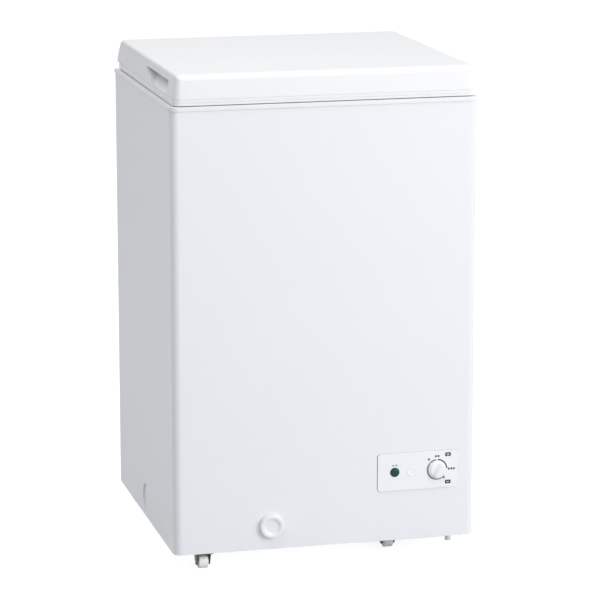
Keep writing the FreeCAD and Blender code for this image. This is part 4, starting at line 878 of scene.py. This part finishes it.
def make_print():
    """The marks on the control panel: a dial scale whose grey part is partly painted shadow of
    the knob, its level marks, the two boxes for less and more, two marks above the lamp, and a
    painted shadow line round the panel."""
    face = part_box("control_bezel")[0].y
    knob, lamp = middle("thermostat_knob"), middle("power_lamp_lens")
    ink = [arc_at(knob, 4, 85, 16.2, 18.5), arc_at(knob, 95, 134, 16.3, 18.2)]
    # The grey band round the dial's left and lower side is the printed scale run together with
    # the knob's shadow: partly print, partly painted shadow.
    grey = [arc_at(knob, 137, 318, 16, 18.4)]
    for x, z, marks in ((-14.5, 18.5, 1), (0, 23.4, 2), (25.5, 0, 3)):
        for mark in range(marks):
            ink.append(box_at(knob, x + 4.6 * (mark - (marks - 1) / 2), z, 3.2, 3.6, 0.5))
    triangle = [(-2, -1.5), (2, -1.5), (0, 2)]
    ink.append((triangle, knob.x + 12.4 * MM, knob.z - 15.6 * MM))
    signs_x, more_z, less_z = 19.3, 25.6, -22.8
    for z in (more_z, less_z):
        ink.append(box_at(knob, signs_x, z, 10.2, 6.6, 1.6))
    for x in (-2.9, 2.9):
        grey.append(box_at(lamp, x, 11.8, 3.2, 2.6, 0.4))
    signs = [box_at(knob, signs_x, more_z, 4.4, 1.2), box_at(knob, signs_x, more_z, 1.2, 4.4),
             box_at(knob, signs_x, less_z, 4.4, 1.2)]
    print_marks("panel_ink", "ink", ink, PRINT, face)
    # a painted shadow band in the gap round the control panel, in grey ink
    print_marks("panel_painted_shadow", "grey_ink", painted_shadow_band_at("control_bezel", 0.9, 0.4), PRINT,
                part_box("outer_wrapper")[0].y)
    print_marks("panel_grey_print_and_shadow", "grey_ink", grey, PRINT, face)
    print_marks("panel_signs", "panel_plastic", signs, SIGN, face)


for name, width in SOFT_EDGES.items():
    soften(nodes[name], width)
for make in (make_shell, make_corners, make_knob, make_front_pieces, make_wheels, make_feet,
             make_screws, make_springs, make_compressor, make_drier, make_pipes, make_basket,
             make_print):
    make()


# ------------------------------------------------------------------ light, floor, camera

FLOOR_GLOW = 0.80  # what the floor shows to the camera beyond the light that it scatters
WORLD_LIGHT = 0.48
# Each lamp's place in metres, the side of its square, and its power in watts.
LAMPS = {
    "key": ((2.3, -3.2, 1.7), 2.4, 95),
    "high": ((-1.3, -0.9, 3.0), 2.4, 25),
    "top": ((0.5, -0.6, 3.2), 2.4, 16),
    "back": ((2.4, 2.8, 0.7), 1.2, 26),
}
CAMERA_YAW, CAMERA_PITCH = math.radians(14.27), math.radians(12.37)
CAMERA_PLACE = Vector((-1.227, -4.888, 1.089))  # from the middle of the object's box
FOCAL_LENGTH = 176.77  # mm, for a sensor 36 mm wide


def seen_rays(tree):
    """One for rays from the camera, off gloss or through glass, and nought for diffuse ones."""
    rays = put(tree, "ShaderNodeLightPath").outputs
    mirrored = put(tree, "ShaderNodeMath",
                   {0: rays["Is Glossy Ray"], 1: rays["Is Transmission Ray"]}, operation="ADD")
    seen = put(tree, "ShaderNodeMath", {0: rays["Is Camera Ray"], 1: mirrored.outputs[0]},
               operation="ADD")
    return seen.outputs[0]


def surface_input(tree, kind):
    return next(n for n in tree.nodes if n.type == kind).inputs["Surface"]


def make_floor(level):
    """A wide pale floor that looks white and keeps the object's shadow."""
    mesh = bpy.data.meshes.new("floor")
    shape = bmesh.new()
    bmesh.ops.create_grid(shape, x_segments=2, y_segments=2, size=60)
    shape.to_mesh(mesh)
    shape.free()
    floor = bpy.data.objects.new("floor", mesh)
    floor.location.z = level
    scene.collection.objects.link(floor)
    mat, tree, shader = new_material("floor_paper")
    shader.inputs["Base Color"].default_value = (0.50, 0.50, 0.51, 1)
    shader.inputs["Roughness"].default_value = 0.9
    strength = put(tree, "ShaderNodeMath", {0: seen_rays(tree), 1: FLOOR_GLOW},
                   operation="MULTIPLY")
    glow = put(tree, "ShaderNodeEmission",
               {"Color": (1, 1, 1, 1), "Strength": strength.outputs[0]})
    both = put(tree, "ShaderNodeAddShader")
    tree.links.new(shader.outputs[0], both.inputs[0])
    tree.links.new(glow.outputs[0], both.inputs[1])
    tree.links.new(both.outputs[0], surface_input(tree, "OUTPUT_MATERIAL"))
    floor.data.materials.append(mat)


def make_world():
    """A soft bluish light all round that looks white."""
    world = bpy.data.worlds.new("studio")
    world.use_nodes = True
    tree = world.node_tree
    light = tree.nodes["Background"]
    light.inputs["Color"].default_value = (0.93, 0.96, 1.0, 1)
    light.inputs["Strength"].default_value = WORLD_LIGHT
    shown = put(tree, "ShaderNodeBackground", {"Color": (1, 1, 1, 1), "Strength": 1.0})
    either = put(tree, "ShaderNodeMixShader", {0: seen_rays(tree)})
    tree.links.new(light.outputs[0], either.inputs[1])
    tree.links.new(shown.outputs[0], either.inputs[2])
    tree.links.new(either.outputs[0], surface_input(tree, "OUTPUT_WORLD"))
    scene.world = world


def make_lamps(centre):
    for name, (spot, side, power) in LAMPS.items():
        data = bpy.data.lights.new(name, "AREA")
        data.shape = "SQUARE"
        data.size = side
        data.energy = power
        lamp = bpy.data.objects.new(name, data)
        lamp.location = spot
        lamp.rotation_euler = (centre - Vector(spot)).to_track_quat("-Z", "Y").to_euler()
        scene.collection.objects.link(lamp)


def make_camera(centre):
    """The camera, whose place and angles come from a fit to the photograph's edges."""
    turn = (Matrix.Rotation(-CAMERA_YAW, 4, "Z")
            @ Matrix.Rotation(math.pi / 2 - CAMERA_PITCH, 4, "X"))
    data = bpy.data.cameras.new("camera")
    data.sensor_width = 36
    data.lens = FOCAL_LENGTH
    data.clip_end = 200
    camera = bpy.data.objects.new("camera", data)
    camera.location = centre + CAMERA_PLACE
    camera.rotation_euler = turn.to_euler()
    scene.collection.objects.link(camera)
    scene.camera = camera
    scene.view_settings.view_transform = "Standard"


middle_of_all = (cad_box[0] + cad_box[1]) / 2
make_floor(cad_box[0].z)
make_world()
make_lamps(middle_of_all)
make_camera(middle_of_all)
